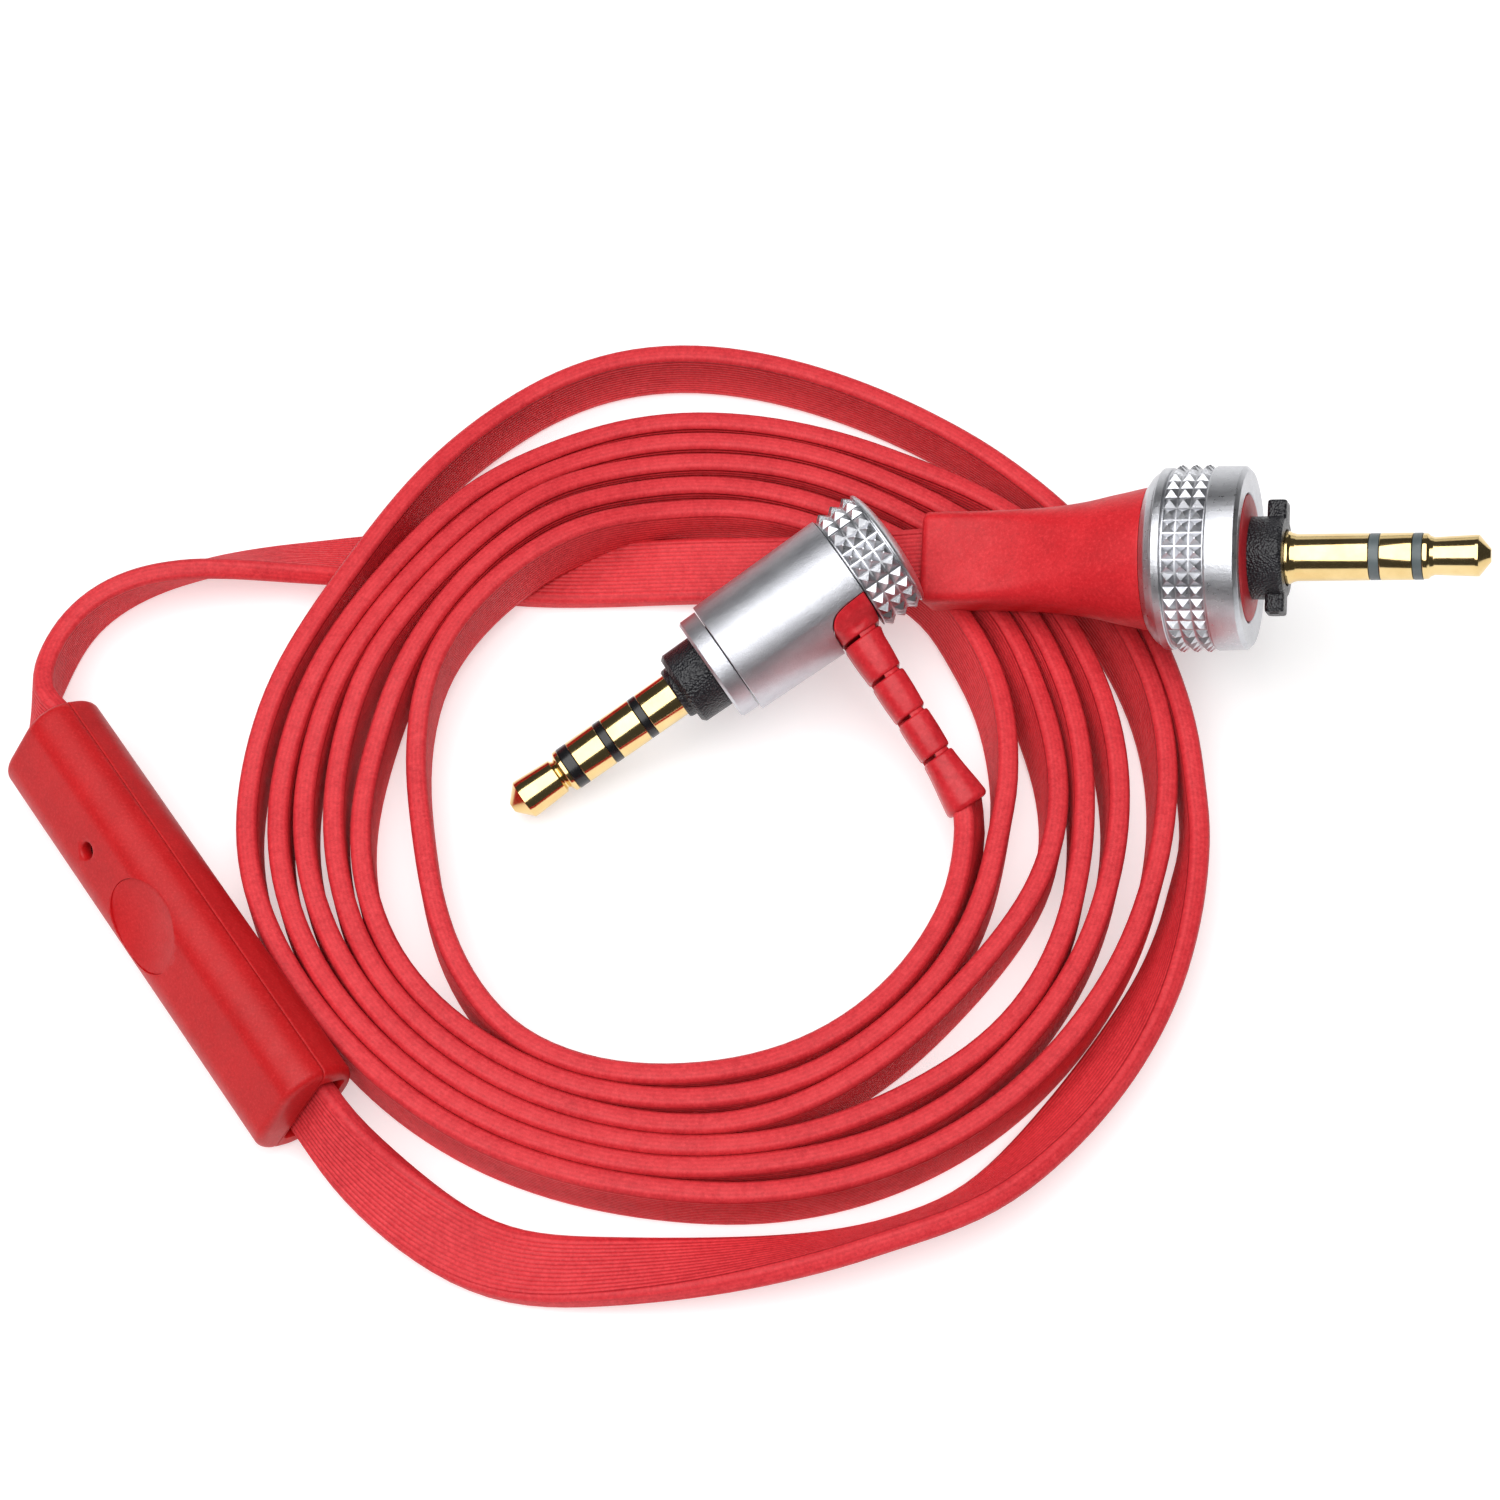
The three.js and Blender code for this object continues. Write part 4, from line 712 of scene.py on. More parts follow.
def ribbon_frames(route, step, ease=1.2):
    """Evenly spaced centres, tangents and the wide side's direction along a route of (x, y, z, lean)."""
    R = np.asarray(route, float)
    s = np.r_[0, np.cumsum(np.linalg.norm(np.diff(R[:, :3], axis=0), axis=1))]
    keep = np.r_[True, np.diff(s) > 1e-4]
    R, s = R[keep], s[keep]
    fine = np.linspace(0, s[-1], int(s[-1] / 0.35) + 2)
    P = spline(s, R[:, :3], fine)
    L = monotone(s, R[:, 3], fine)
    sig = ease / 0.35
    k = np.arange(-int(3 * sig), int(3 * sig) + 1)
    w = np.exp(-0.5 * (k / sig) ** 2)
    w /= w.sum()
    pad = len(k) // 2

    def soft(a):
        e = np.r_[2 * a[0] - a[pad:0:-1], a, 2 * a[-1] - a[-2:-pad - 2:-1]]
        return np.convolve(e, w, "valid")

    P = np.stack([soft(P[:, i]) for i in range(3)], 1)
    L = soft(L)
    d = np.r_[0, np.cumsum(np.linalg.norm(np.diff(P, axis=0), axis=1))]
    n = int(round(d[-1] / step))
    at = np.linspace(0, d[-1], n + 1)
    P = np.stack([np.interp(at, d, P[:, i]) for i in range(3)], 1)
    L = np.interp(at, d, L)
    D = np.gradient(P, axis=0)
    T = D / np.linalg.norm(D, axis=1)[:, None]
    H = D.copy()
    H[:, 2] = 0
    H /= np.linalg.norm(H, axis=1)[:, None]
    left = np.c_[-H[:, 1], H[:, 0], np.zeros(len(H))]
    a = np.radians(L)
    W = np.cos(a)[:, None] * np.array([0, 0, 1.0]) + np.sin(a)[:, None] * left
    W -= (W * T).sum(1)[:, None] * T
    W /= np.linalg.norm(W, axis=1)[:, None]
    N = np.cross(T, W)
    return P, T, W, N, d[-1]


def ribbon(name, route, step=1.25):
    P, T, W, N, length = ribbon_frames(route, step)
    sec, crest = section()
    m = len(sec)
    n = len(P)
    V = P[:, None, :] + W[:, None, :] * sec[None, :, 0, None] + N[:, None, :] * sec[None, :, 1, None]
    V = V.reshape(-1, 3)
    # nothing sinks into the table
    V[:, 2] = np.maximum(V[:, 2], 0.005)
    i = np.arange(n - 1)[:, None] * m
    k = np.arange(m)[None, :]
    k2 = (k + 1) % m
    F = np.stack([i + k, i + k2, i + m + k2, i + m + k], -1).reshape(-1, 4)
    me = bpy.data.meshes.new(name)
    caps = [list(range(m - 1, -1, -1)), [(n - 1) * m + j for j in range(m)]]
    nv, nf = len(V), len(F)
    me.vertices.add(nv)
    me.vertices.foreach_set("co", (V * MM).ravel())
    loops = np.concatenate([F.ravel(), np.array(caps[0]), np.array(caps[1])])
    me.loops.add(len(loops))
    me.loops.foreach_set("vertex_index", loops.astype(np.int32))
    starts = np.concatenate([np.arange(nf) * 4, [nf * 4, nf * 4 + m]])
    me.polygons.add(nf + 2)
    me.polygons.foreach_set("loop_start", starts.astype(np.int32))
    me.update(calc_edges=True)
    me.validate()
    bm = bmesh.new()
    bm.from_mesh(me)
    bmesh.ops.recalc_face_normals(bm, faces=bm.faces)
    bm.to_mesh(me)
    bm.free()
    # the crest values also drive the rubber's painted shade in the grooves and its paler crests, partly a painted
    # highlight
    at = me.attributes.new("crest", "FLOAT", "POINT")
    at.data.foreach_set("value", np.tile(crest, n).astype(np.float32))
    ob = bpy.data.objects.new(name, me)
    SCENE.collection.objects.link(ob)
    me.shade_smooth()
    return ob, P, length


def towards(p, q, d):
    """The point d beyond p, going from q to p."""
    p, q = np.array(p, float), np.array(q, float)
    return p + unit(p - q) * d


SLOT_UP = R_UPPER + R_FACE * R_CORD_Z
SLOT_LOW = R_UPPER + R_AXIS * R_LENGTH + R_FACE * R_CORD_Z


OUTER_START = 433                     # where the outer loop begins to lay itself down
OUTER_LEAN = [12, 17, 23, 30, 38, 44, 47, 46, 42, 37, 32, 29, 29, 34, 41, 50, 60, 69, 77, 85, 93, 101, 111, 122, 133, 140]


def stand_up(route):
    """Bring the leaning turns nearer to upright about their upper edge, and draw the outer loop in at its lower right."""
    R = np.array(route, float)
    H = np.gradient(R[:, :2], axis=0)
    H /= np.linalg.norm(H, axis=1)[:, None]
    left = np.c_[-H[:, 1], H[:, 0]]
    out = R.copy()
    hw = CORD_W / 2
    for i, (x, y, z, lean) in enumerate(R):
        new = lean
        if i >= OUTER_START:
            new = OUTER_LEAN[i - OUTER_START]
        elif 50 < i < 80 and lean > 0:
            new = lean * 0.22
        elif lean > 0:
            new = lean * 0.5
        a, b = math.radians(lean), math.radians(new)
        if new != lean:
            out[i, :2] += (math.sin(a) - math.sin(b)) * hw * left[i]
            low = hw * abs(math.cos(b)) + 0.8 * abs(math.sin(b))
            out[i, 2] = low + 0.01 if i >= OUTER_START else max(z + (math.cos(a) - math.cos(b)) * hw, low + 0.01)
            out[i, 3] = new
        if i >= OUTER_START:
            draw = float(monotone([-60, -26, -18, -9, -1.3, 4, 10.4, 14, 18, 60], [0, 0, -0.6, 0, 0.3, 0.6, 0.8, 0.45, 0, 0], [x])[0])
            out[i, :2] -= draw * left[i]
    return [list(p) for p in out]


coil_route = stand_up(COIL_ROUTE)
# into the boot's mouth
coil_route = [[*(A_BOOT_END - BOOT_DIR * 1.0), -20.0]] + coil_route
# into the remote's lower end
coil_route = coil_route[:-2] + [[*(SLOT_LOW + R_AXIS * 1.6), 141.5], [*SLOT_LOW, 142.0], [*(SLOT_LOW - R_AXIS * 1.2), 142.0]]
lead_route = [[*(SLOT_UP + R_AXIS * 1.2), -38.0], [*SLOT_UP, -38.0], [*(SLOT_UP - R_AXIS * 1.4), -37.5]]
lead_route += [list(p) for p in LEAD_ROUTE[2:-1]]
lead_route += [[*S_REAR, -110.0], [*(S_REAR + S_DIR * 1.2), -110.0]]

main_cord, main_path, main_len = ribbon("main_cord", coil_route)
lead_cord, lead_path, lead_len = ribbon("lead_cord", lead_route, 0.8)
print("cord lengths", round(main_len, 1), round(lead_len, 1), len(main_cord.data.polygons))
finish_piece(main_cord, M_CORD, "cord_rubber", "cable", "coil_cord", "outer_loop_cord")
finish_piece(lead_cord, M_CORD, "cord_rubber", "cable", "plug_lead_cord")

# ---- knurling -----------------------------------------------------------------------------


def knurled(name, prof_a, prof_b, x0, x1, cols, around, r, height, M, groove=0.07, top=0.05, angle=20.0):
    """A turned piece with a band of square pyramids from x0 to x1: prof_a runs up to the band and prof_b on from it."""
    px = (x1 - x0) / cols
    us = [0.0, groove, 0.5 - top, 0.5 + top, 1 - groove]
    vs = us

    def tall(u):
        if u <= groove or u >= 1 - groove:
            return 0.0
        return 1.0

    xs, ux = [], []
    for c in range(cols):
        for u in us:
            xs.append(x0 + (c + u) * px)
            ux.append(u)
    xs.append(x1)
    ux.append(0.0)
    th, vt = [], []
    for k in range(around):
        for v in vs:
            th.append(2 * math.pi * (k + v) / around)
            vt.append(v)
    n = len(th)
    verts, rows = [], []

    def add_row(x, rr):
        if isinstance(rr, (int, float)) and rr < 1e-6:
            rows.append([len(verts)] * n)
            verts.append((x, 0, 0))
            return
        rows.append(list(range(len(verts), len(verts) + n)))
        for j in range(n):
            q = rr if isinstance(rr, (int, float)) else rr[j]
            verts.append((x, q * math.cos(th[j]), q * math.sin(th[j])))

    for x, rr in prof_a:
        add_row(x, float(rr))
    start = len(rows)
    for x, u in zip(xs, ux):
        hs = [r + height * (tall(u) * tall(v)) for v in vt]
        # the ridge lines between the apexes stay low, so that each stands as its own pyramid
        add_row(x, hs)
    end = len(rows)
    for x, rr in prof_b:
        add_row(x, float(rr))
    faces = []
    for i in range(len(rows) - 1):
        a, b = rows[i], rows[i + 1]
        for k in range(n):
            k2 = (k + 1) % n
            q = [a[k], a[k2], b[k2], b[k]]
            q = [q[j] for j in range(4) if q[j] != q[j - 1]]
            if len(q) < 4:
                if len(q) == 3:
                    faces.append(q)
                continue
            if start <= i < end - 1:
                u0, v0 = ux[i - start], vt[k]
                iu, iv = us.index(u0), vs.index(v0)
                if iu in (1, 3) and iv in (1, 3):
                    # a corner of a pyramid: split it along its ridge
                    if (iu == 1) == (iv == 1):
                        faces += [[q[0], q[1], q[2]], [q[0], q[2], q[3]]]
                    else:
                        faces += [[q[0], q[1], q[3]], [q[1], q[2], q[3]]]
                    continue
            faces.append(q)
    return mesh_object(name, verts, faces, M, angle)


PIN = 1.75


# ---- angled plug --------------------------------------------------------------------------
# the cap: a shallow dome, a plain rim, then the knurl
dome = [(-0.36 - 0.86 * math.cos(t), 4.76 * math.sin(t)) for t in np.linspace(0, math.pi / 2, 22)]
dome[0] = (dome[0][0], 0.0)
cap = knurled(
    "angled_cap_shell",
    dome + [(-0.33, 4.755), (-0.30, 4.70), (-0.285, 4.62)],
    [(2.975, 4.62), (2.99, 4.66), (3.02, 4.67), (3.035, 4.64), (3.04, 4.58), (3.04, 3.98), (2.9, 3.95), (0.56, 3.95), (0.52, 3.9), (0.52, 0.0)],
    -0.27, 2.96, 3, 28, 4.57, 0.37, ANGLED, groove=0.055, top=0.045,
)
finish_piece(cap, M_KNURL, "silver_knurled", "cable", "angled_end_cap")

bar_prof = ring_profile([
    (3.09, 3.98, 0.05), (3.09, 4.80, 0.07), (14.17, 4.61, 0.07), (14.17, 3.12, 0.03), (13.42, 3.12, 0.03), (13.42, 3.75, 0.05)], 0.08, 5)
barrel = lathe("angled_barrel_shell", bar_prof, ANGLED, 160, closed=True)
# the opening the boot's head is let into, running out at the barrel's rear edge
HEAD = [(2.06, 3.30), (2.10, 4.05), (2.18, 5.10), (2.32, 5.75), (2.56, 6.15), (2.90, 6.44), (3.26, 6.60), (3.65, 6.68), (7.5, 6.68)]
opening = [(2.0, 2.02), (3.30, 2.02)] + [(x + 0.04, y - 0.04) for y, x in HEAD[1:]] + [(2.0, 7.5)]
cut(barrel, prism_tool(opening, -6.0, 6.0, ANGLED))
bevel(barrel, 0.05, 2, 40)
shade(barrel, 32)
finish_piece(barrel, M_SATIN, "silver_satin", "cable", "angled_barrel")

trim = lathe("angled_trim", ring_profile([
    (14.235, 3.14, 0.03), (14.235, 4.27, 0.05), (15.58, 4.25, 0.10), (15.78, 4.06, 0.07), (15.78, 3.14, 0.03)], 0.05, 5), ANGLED, 160, closed=True)
finish_piece(trim, M_SATIN, "silver_satin", "cable", "angled_trim_ring")

# black base: a grained cylinder with a chamfered shoulder and a lip
base = lathe("angled_base_moulding", ring_profile([
    (13.55, 1.84, 0.02), (13.55, 2.92, 0.05), (15.9, 3.00, 0.05), (18.12, 2.97, 0.12), (18.40, 2.70, 0.06), (18.43, 2.10, 0.04), (18.80, 2.06, 0.12),
    (18.96, 1.96, 0.05), (18.96, 1.84, 0.02)], 0.05, 6), ANGLED, 96, closed=True)
finish_piece(base, M_BLACK, "black_nylon", "cable", "angled_base")

sleeve = lathe("angled_sleeve_contact", ring_profile([
    (13.0, 1.32, 0.02), (13.0, 1.58, 0.02), (18.62, 1.58, 0.02), (18.62, PIN, 0.03), (21.56, PIN, 0.05), (21.56, 1.32, 0.02)], 0.03, 4), ANGLED, 96, closed=True)
finish_piece(sleeve, M_GOLD, "gold", "cable", "angled_sleeve")
for name, node, x0, x1, bore, stem, x_in in (
    ("angled_contact_ring_2", "angled_ring_2", 22.24, 24.76, 0.97, 1.18, 12.0),
    ("angled_contact_ring_1", "angled_ring_1", 25.46, 27.88, 0.62, 0.83, 11.0),
):
    ob = lathe(name, ring_profile([(x_in, bore, 0.02), (x_in, stem, 0.02), (x0, stem, 0.02), (x0, PIN, 0.05), (x1, PIN, 0.05), (x1, bore, 0.02)], 0.03, 4), ANGLED, 96, closed=True)
    finish_piece(ob, M_GOLD, "gold", "cable", node)
tip = lathe("angled_tip_contact", rounded([
    (9.95, 0.0, 0), (9.95, 0.48, 0.02), (28.80, 0.48, 0.02), (28.80, 1.72, 0.04), (29.12, 1.70, 0.10), (29.42, 1.18, 0.10), (29.54, 1.18, 0.05), (29.70, 1.41, 0.06),
    (32.5, 1.57, 0.15), (32.80, 1.56, 0.05), (33.70, 0.58, 0.12), (33.86, 0.40, 0.08), (33.88, 0.0, 0)], 0.05, 6), ANGLED, 96)
finish_piece(tip, M_GOLD, "gold", "cable", "angled_tip")
for name, node, x0, x1, bore in (
    ("angled_band_1", "angled_insulator_1", 21.59, 22.21, 1.22), ("angled_band_2", "angled_insulator_2", 24.79, 25.43, 0.88),
    ("angled_band_3", "angled_insulator_3", 27.91, 28.76, 0.52),
):
    ob = lathe(name, ring_profile([(x0, bore, 0.02), (x0, PIN - 0.02, 0.04), (x1, PIN - 0.02, 0.04), (x1, bore, 0.02)], 0.03, 4), ANGLED, 96, closed=True)
    finish_piece(ob, M_BAND, "black_nylon", "cable", node)


# ---- boot ---------------------------------------------------------------------------------
def boot_piece():
    """The head fills the barrel's opening with a saddle; beyond it the body narrows, slit from both sides, and flares at its mouth."""
    grooves = [4.50, 8.02, 11.50, 14.98]
    gw = 0.27
    L = BOOT_REACH
    heads = np.array(HEAD)
    ys = [2.06, 2.08, 2.12, 2.18, 2.25, 2.32, 2.40, 2.5, 2.58, 2.7, 2.9, 3.1, 3.3, 3.5, 3.7, 3.9]
    for g in grooves:
        ys += [g - gw / 2 - 0.26, g - gw / 2 - 0.16, g - gw / 2 - 0.08, g - gw / 2 - 0.03, g - gw / 2, g - gw / 2 + 0.015, g,
               g + gw / 2 - 0.015, g + gw / 2, g + gw / 2 + 0.03, g + gw / 2 + 0.08, g + gw / 2 + 0.16, g + gw / 2 + 0.26]
    starts = [2.06] + [g + gw / 2 for g in grooves]
    ends = [g - gw / 2 for g in grooves] + [L]
    for a, b in list(zip(starts, ends))[1:]:
        ys += list(np.linspace(a + 0.42, b - 0.42, 7))
    ys += [L - 0.55, L - 0.3, L - 0.14, L - 0.04, L]
    ys = np.unique(np.round(ys, 4))

    def sway(y):
        return 0.60 * (max(0.0, y - 4.0) / (L - 4.0)) ** 1.2

    rings = []
    for y in ys:
        h = float(monotone([0, 4.5, 9, 14.5, L], [3.20, 3.20, 3.05, 2.92, 3.12], [y])[0])
        base_h = h
        saddle = math.sqrt(max(0.0, 4.86**2 - y * y))
        if y <= 4.0:
            k = 0.25
            h = h + 0.5 * ((saddle - h) + math.sqrt((saddle - h) ** 2 + k * k))
            w = min(1.0, max(0.0, (y - 3.4) / 0.6))
            w = w * w * (3 - 2 * w)
            h = h * (1 - w) + base_h * w
        t = float(monotone([0, 4.5, 8.0, 11.5, 15.2, L], [1.53, 1.50, 1.36, 1.26, 1.22, 1.72], [y])[0])
        x0, x1 = BOOT_X - t + sway(y), BOOT_X + t + sway(y)
        if y < 5.6:
            w = min(1.0, max(0.0, (y - 3.6) / 2.0))
            w = w * w * (3 - 2 * w)
            hx1 = float(np.interp(y, heads[:, 0], heads[:, 1])) - 0.03
            x0 = 3.13 * (1 - w) + x0 * w
            x1 = hx1 * (1 - w) + x1 * w
        mid, t = (x0 + x1) / 2, (x1 - x0) / 2
        off = 0.0
        seg = max(i for i, s in enumerate(starts) if y >= s - 1e-6 or i == 0)
        a, b = starts[seg], ends[seg]
        in_groove = any(abs(y - g) < gw / 2 - 1e-4 for g in grooves)
        if not in_groove:
            if seg:
                u = (y - a) / (b - a)
                off += 0.05 * (1 - (2 * min(max(u, 0), 1) - 1) ** 2)
            for e, on in ((a, seg > 0), (b, True)):
                d = abs(y - e)
                rr = 0.20 if e != L else 0.42
                if on and d < rr:
                    off -= (rr - math.sqrt(max(0.0, rr * rr - (rr - d) ** 2))) * 0.8
        full = t * 0.94
        corner = full if y > 4.2 else 0.28 + (full - 0.28) * max(0.0, (y - 3.2)) / 1.0
        o = round_rect(t + off, h + off, min(corner, t + off), 14, 10, 10)
        if in_groove:
            # a deep slit from one side and a short one from the other, with a web between them
            up = o[:, 1] > -1.3
            o[:, 0] = np.where(up, np.clip(o[:, 0], -t * 0.72, t * 0.10), o[:, 0] * (1 - 0.10 / t))
            o[:, 1] *= 1 - 0.16 / h
        rings.append(np.c_[mid + o[:, 0], np.full(len(o), y), o[:, 1]])
    # the mouth: in round the cord's slot
    mx = BOOT_X + sway(L) - 0.22
    o = round_rect(1.08, 2.62, 0.5, 14, 10, 10)
    rings.append(np.c_[mx + o[:, 0] * 1.06, np.full(len(o), L - 0.02), o[:, 1] * 1.03])
    rings.append(np.c_[mx + o[:, 0], np.full(len(o), L - 0.12), o[:, 1]])
    rings.append(np.c_[mx + o[:, 0] * 0.9 - 0.1, np.full(len(o), L - 1.6), o[:, 1]])
    return loft("boot", rings, ANGLED, 28)


boot = boot_piece()
finish_piece(boot, M_BOOT, "boot_rubber", "cable", "angled_boot")


# ---- straight plug ------------------------------------------------------------------------
def housing():
    xs_k = [0.0, 2.5, 5.0, 7.5, 10.0, 12.5, 15.0, 17.39]
    w_k = [3.56, 3.58, 3.62, 3.70, 3.89, 4.30, 4.90, 5.40]
    t_k = [2.24, 2.26, 2.38, 2.70, 3.28, 4.02, 4.78, 5.40]
    c_k = [0.90, 0.95, 1.12, 1.55, 2.35, 3.45, 4.50, 5.40]
    L = 17.39
    xs = np.r_[[0.0, 0.03, 0.09, 0.18, 0.30, 0.45, 0.62], np.linspace(0.9, L - 0.4, 60), [L - 0.2, L - 0.03, L - 0.01, L]]
    rings = []
    for x in xs:
        w, t, c = (float(monotone(xs_k, k, [min(x, L)])[0]) for k in (w_k, t_k, c_k))
        off = 0.0
        r = 0.55
        if x < r:
            off -= r - math.sqrt(max(0.0, r * r - (r - x) ** 2))
        r = 0.03
        if L - x < r:
            off -= r - math.sqrt(max(0.0, r * r - (r - (L - x)) ** 2))
        o = round_rect(w + off, t + off, max(0.25, min(c + off * 0.5, t + off)), 24, 8, 10)
        rings.append(np.c_[np.full(len(o), x), o])
    # soften the section's flats into its corners so that the faces run into one another
    R = np.array(rings)
    k = np.array([1, 4, 6, 4, 1], float)
    k /= k.sum()
    body = R[8:, :, 1:]
    for _ in range(5):
        body = sum(wt * np.roll(body, i - 2, axis=1) for i, wt in enumerate(k))
    fade = np.clip((R[8:, 0, 0] - 1.0) / 3.0, 0, 1) * np.clip((L - 0.5 - R[8:, 0, 0]) / 1.5, 0, 1)
    R[8:, :, 1:] += (body - R[8:, :, 1:]) * fade[:, None, None]
    rings = [r for r in R]
    # the bore the core sits in, from the front
    m = len(rings[0])
    ang = np.arctan2(rings[-1][:, 2], rings[-1][:, 1])
    for x, r in ((L, 4.40), (L - 0.1, 4.25), (13.2, 3.5), (10.3, 2.7), (10.2, 2.6)):
        rings.append(np.c_[np.full(m, x), r * np.cos(ang), r * np.sin(ang)])
    return loft("straight_housing_shell", rings, STRAIGHT, 40)


house = housing()
cut(house, box_tool(-1, 1.7, -2.85, 2.85, -0.98, 0.98, STRAIGHT))
cut(house, box_tool(1.5, 11.0, -2.70, 2.70, -1.25, 1.25, STRAIGHT))
shade(house, 40)
finish_piece(house, M_HOUSE, "housing_red", "cable", "straight_housing")

collar = knurled(
    "lock_collar_ring",
    rounded([(17.42, 3.9), (17.42, 5.42, 0.05), (17.50, 5.62, 0.10), (17.95, 6.26, 0.35), (18.42, 6.58, 0.20), (18.50, 6.60, 0.02), (18.52, 6.74, 0.02), (18.62, 6.80, 0.05),
             (19.16, 6.82, 0.05), (19.24, 6.76, 0.02), (19.27, 6.62, 0.02), (19.32, 6.60, 0)], 0.08),
    rounded([(22.42, 6.60, 0), (22.45, 6.64, 0.01), (22.48, 6.82, 0.02), (22.58, 6.88, 0.04), (24.62, 6.84, 0.10), (24.94, 6.52, 0.10),
             (24.80, 4.90, 0.08), (24.6, 4.78, 0.04), (21.92, 4.78, 0.03), (21.92, 3.9, 0.03), (17.42, 3.9)], 0.08),
    19.34, 22.40, 3, 42, 6.60, 0.38, STRAIGHT, groove=0.055, top=0.045,
)
finish_piece(collar, M_KNURL, "silver_knurled", "twist_collar", "lock_collar")

disc = lathe("collar_disc_plate", ring_profile([
    (24.10, 2.62, 0.03), (24.10, 4.72, 0.05), (24.80, 4.72, 0.08), (24.90, 4.45, 0.10), (25.06, 3.40, 0.10), (25.06, 2.62, 0.05)], 0.05, 5), STRAIGHT, 128, closed=True)
finish_piece(disc, M_DISC, "disc_red", "twist_collar", "collar_disc")


def bayonet():
    ob = lathe("bayonet_moulding", ring_profile([
        (23.17, 1.90, 0.02), (23.17, 4.38, 0.05), (23.98, 4.38, 0.05), (23.98, 2.52, 0.03), (24.87, 2.52, 0.03), (24.87, 3.08, 0.05),
        (27.30, 3.12, 0.12), (27.56, 2.90, 0.10), (27.60, 2.12, 0.05), (26.85, 2.12, 0.02), (26.85, 1.90, 0.02)], 0.05, 5), STRAIGHT, 96, closed=True)
    for k in (1, -1):
        o = round_rect(0.72, 0.95, 0.26, 6, 3)
        rings = []
        for yy, s in ((2.6, 1.0), (3.9, 1.0), (4.12, 0.98), (4.22, 0.92), (4.26, 0.82)):
            q = o * s
            rings.append(np.c_[26.86 + q[:, 0], np.full(len(o), k * yy), q[:, 1]])
        if k < 0:
            rings = [r[::-1] for r in rings]
        lug = loft("lug", rings, STRAIGHT)
        cut(ob, lug, "UNION")
        # the little flat pad on the lug's outside
        o2 = round_rect(0.36, 0.50, 0.12, 4, 3)
        pad = [np.c_[26.82 + o2[:, 0] * s, np.full(len(o2), k * yy), o2[:, 1] * s] for yy, s in ((4.0, 1.0), (4.30, 1.0), (4.34, 0.9))]
        cut(ob, loft("pad", pad, STRAIGHT), "UNION")
    bevel(ob, 0.07, 2, 50)
    shade(ob, 34)
    return ob


bay = bayonet()
finish_piece(bay, M_BLACK, "black_nylon", "twist_collar", "bayonet_base")

ssl = lathe("straight_sleeve_contact", ring_profile([
    (13.0, 1.27, 0.02), (13.0, 1.62, 0.02), (27.03, 1.62, 0.02), (27.03, 1.98, 0.02), (27.82, 1.98, 0.15), (28.02, 1.85, 0.12), (28.36, 1.755, 0.2),
    (33.70, PIN, 0.05), (33.70, 1.27, 0.02)], 0.04, 6), STRAIGHT, 96, closed=True)
finish_piece(ssl, M_GOLD, "gold", "cable", "straight_sleeve")
srg = lathe("straight_contact_ring", ring_profile([
    (12.0, 0.82, 0.02), (12.0, 1.13, 0.02), (34.51, 1.13, 0.02), (34.51, PIN, 0.05), (36.87, PIN, 0.05), (36.87, 0.82, 0.02)], 0.04, 5), STRAIGHT, 96, closed=True)
finish_piece(srg, M_GOLD, "gold", "cable", "straight_ring")
stp = lathe("straight_tip_contact", rounded([
    (10.9, 0.0, 0), (10.9, 0.68, 0.02), (37.62, 0.68, 0.02), (37.62, 1.71, 0.04), (37.96, 1.68, 0.06), (38.14, 1.50, 0.06), (38.42, 1.40, 0.12),
    (41.40, 1.54, 0.15), (41.62, 1.53, 0.05), (42.32, 0.66, 0.08), (42.46, 0.50, 0.06), (42.48, 0.0, 0)], 0.05, 6), STRAIGHT, 96)
finish_piece(stp, M_GOLD, "gold", "cable", "straight_tip")
for name, node, x0, x1, bore in (("straight_band_1", "straight_insulator_1", 33.74, 34.47, 1.17), ("straight_band_2", "straight_insulator_2", 36.91, 37.58, 0.72)):
    ob = lathe(name, ring_profile([(x0, bore, 0.02), (x0, PIN - 0.02, 0.04), (x1, PIN - 0.02, 0.04), (x1, bore, 0.02)], 0.03, 4), STRAIGHT, 96, closed=True)
    finish_piece(ob, M_GREY, "grey_band", "cable", node)


# ---- in-line remote -----------------------------------------------------------------------
BTN_X, BTN_A, BTN_B = 0.1, 3.86, 3.02      # the button's middle and half sizes


def dish(x, y):
    return 2.56 + 0.57 * ((x - BTN_X) / BTN_A) ** 2 + 0.23 * (y / BTN_B) ** 2


def remote_outline(off=0.0):
    """The remote's section (y, z), with a fine groove where the two shells part."""
    o = round_rect(R_W / 2 + off, R_T / 2 + off, R_CORNER + off * 0.6, 26, 6, 22)
    marks = [R_SPLIT + d for d in (-0.16, -0.08, -0.045, 0.045, 0.08, 0.16)]
    out = []
    n = len(o)
    for i in range(n):
        p, q = o[i], o[(i + 1) % n]
        out.append(p)
        cuts = [(m - p[1]) / (q[1] - p[1]) for m in marks if abs(q[1] - p[1]) > 1e-9 and 1e-6 < (m - p[1]) / (q[1] - p[1]) < 1 - 1e-6]
        for c in sorted(cuts):
            out.append(p + (q - p) * c)
    out = np.array(out)
    d = np.abs(out[:, 1] - R_SPLIT)
    depth = np.interp(d, [0.0, 0.045, 0.08, 0.16], [0.10, 0.10, 0.035, 0.0])
    side = np.abs(out[:, 0]) > 2
    out[:, 0] -= np.sign(out[:, 0]) * depth * side
    return out


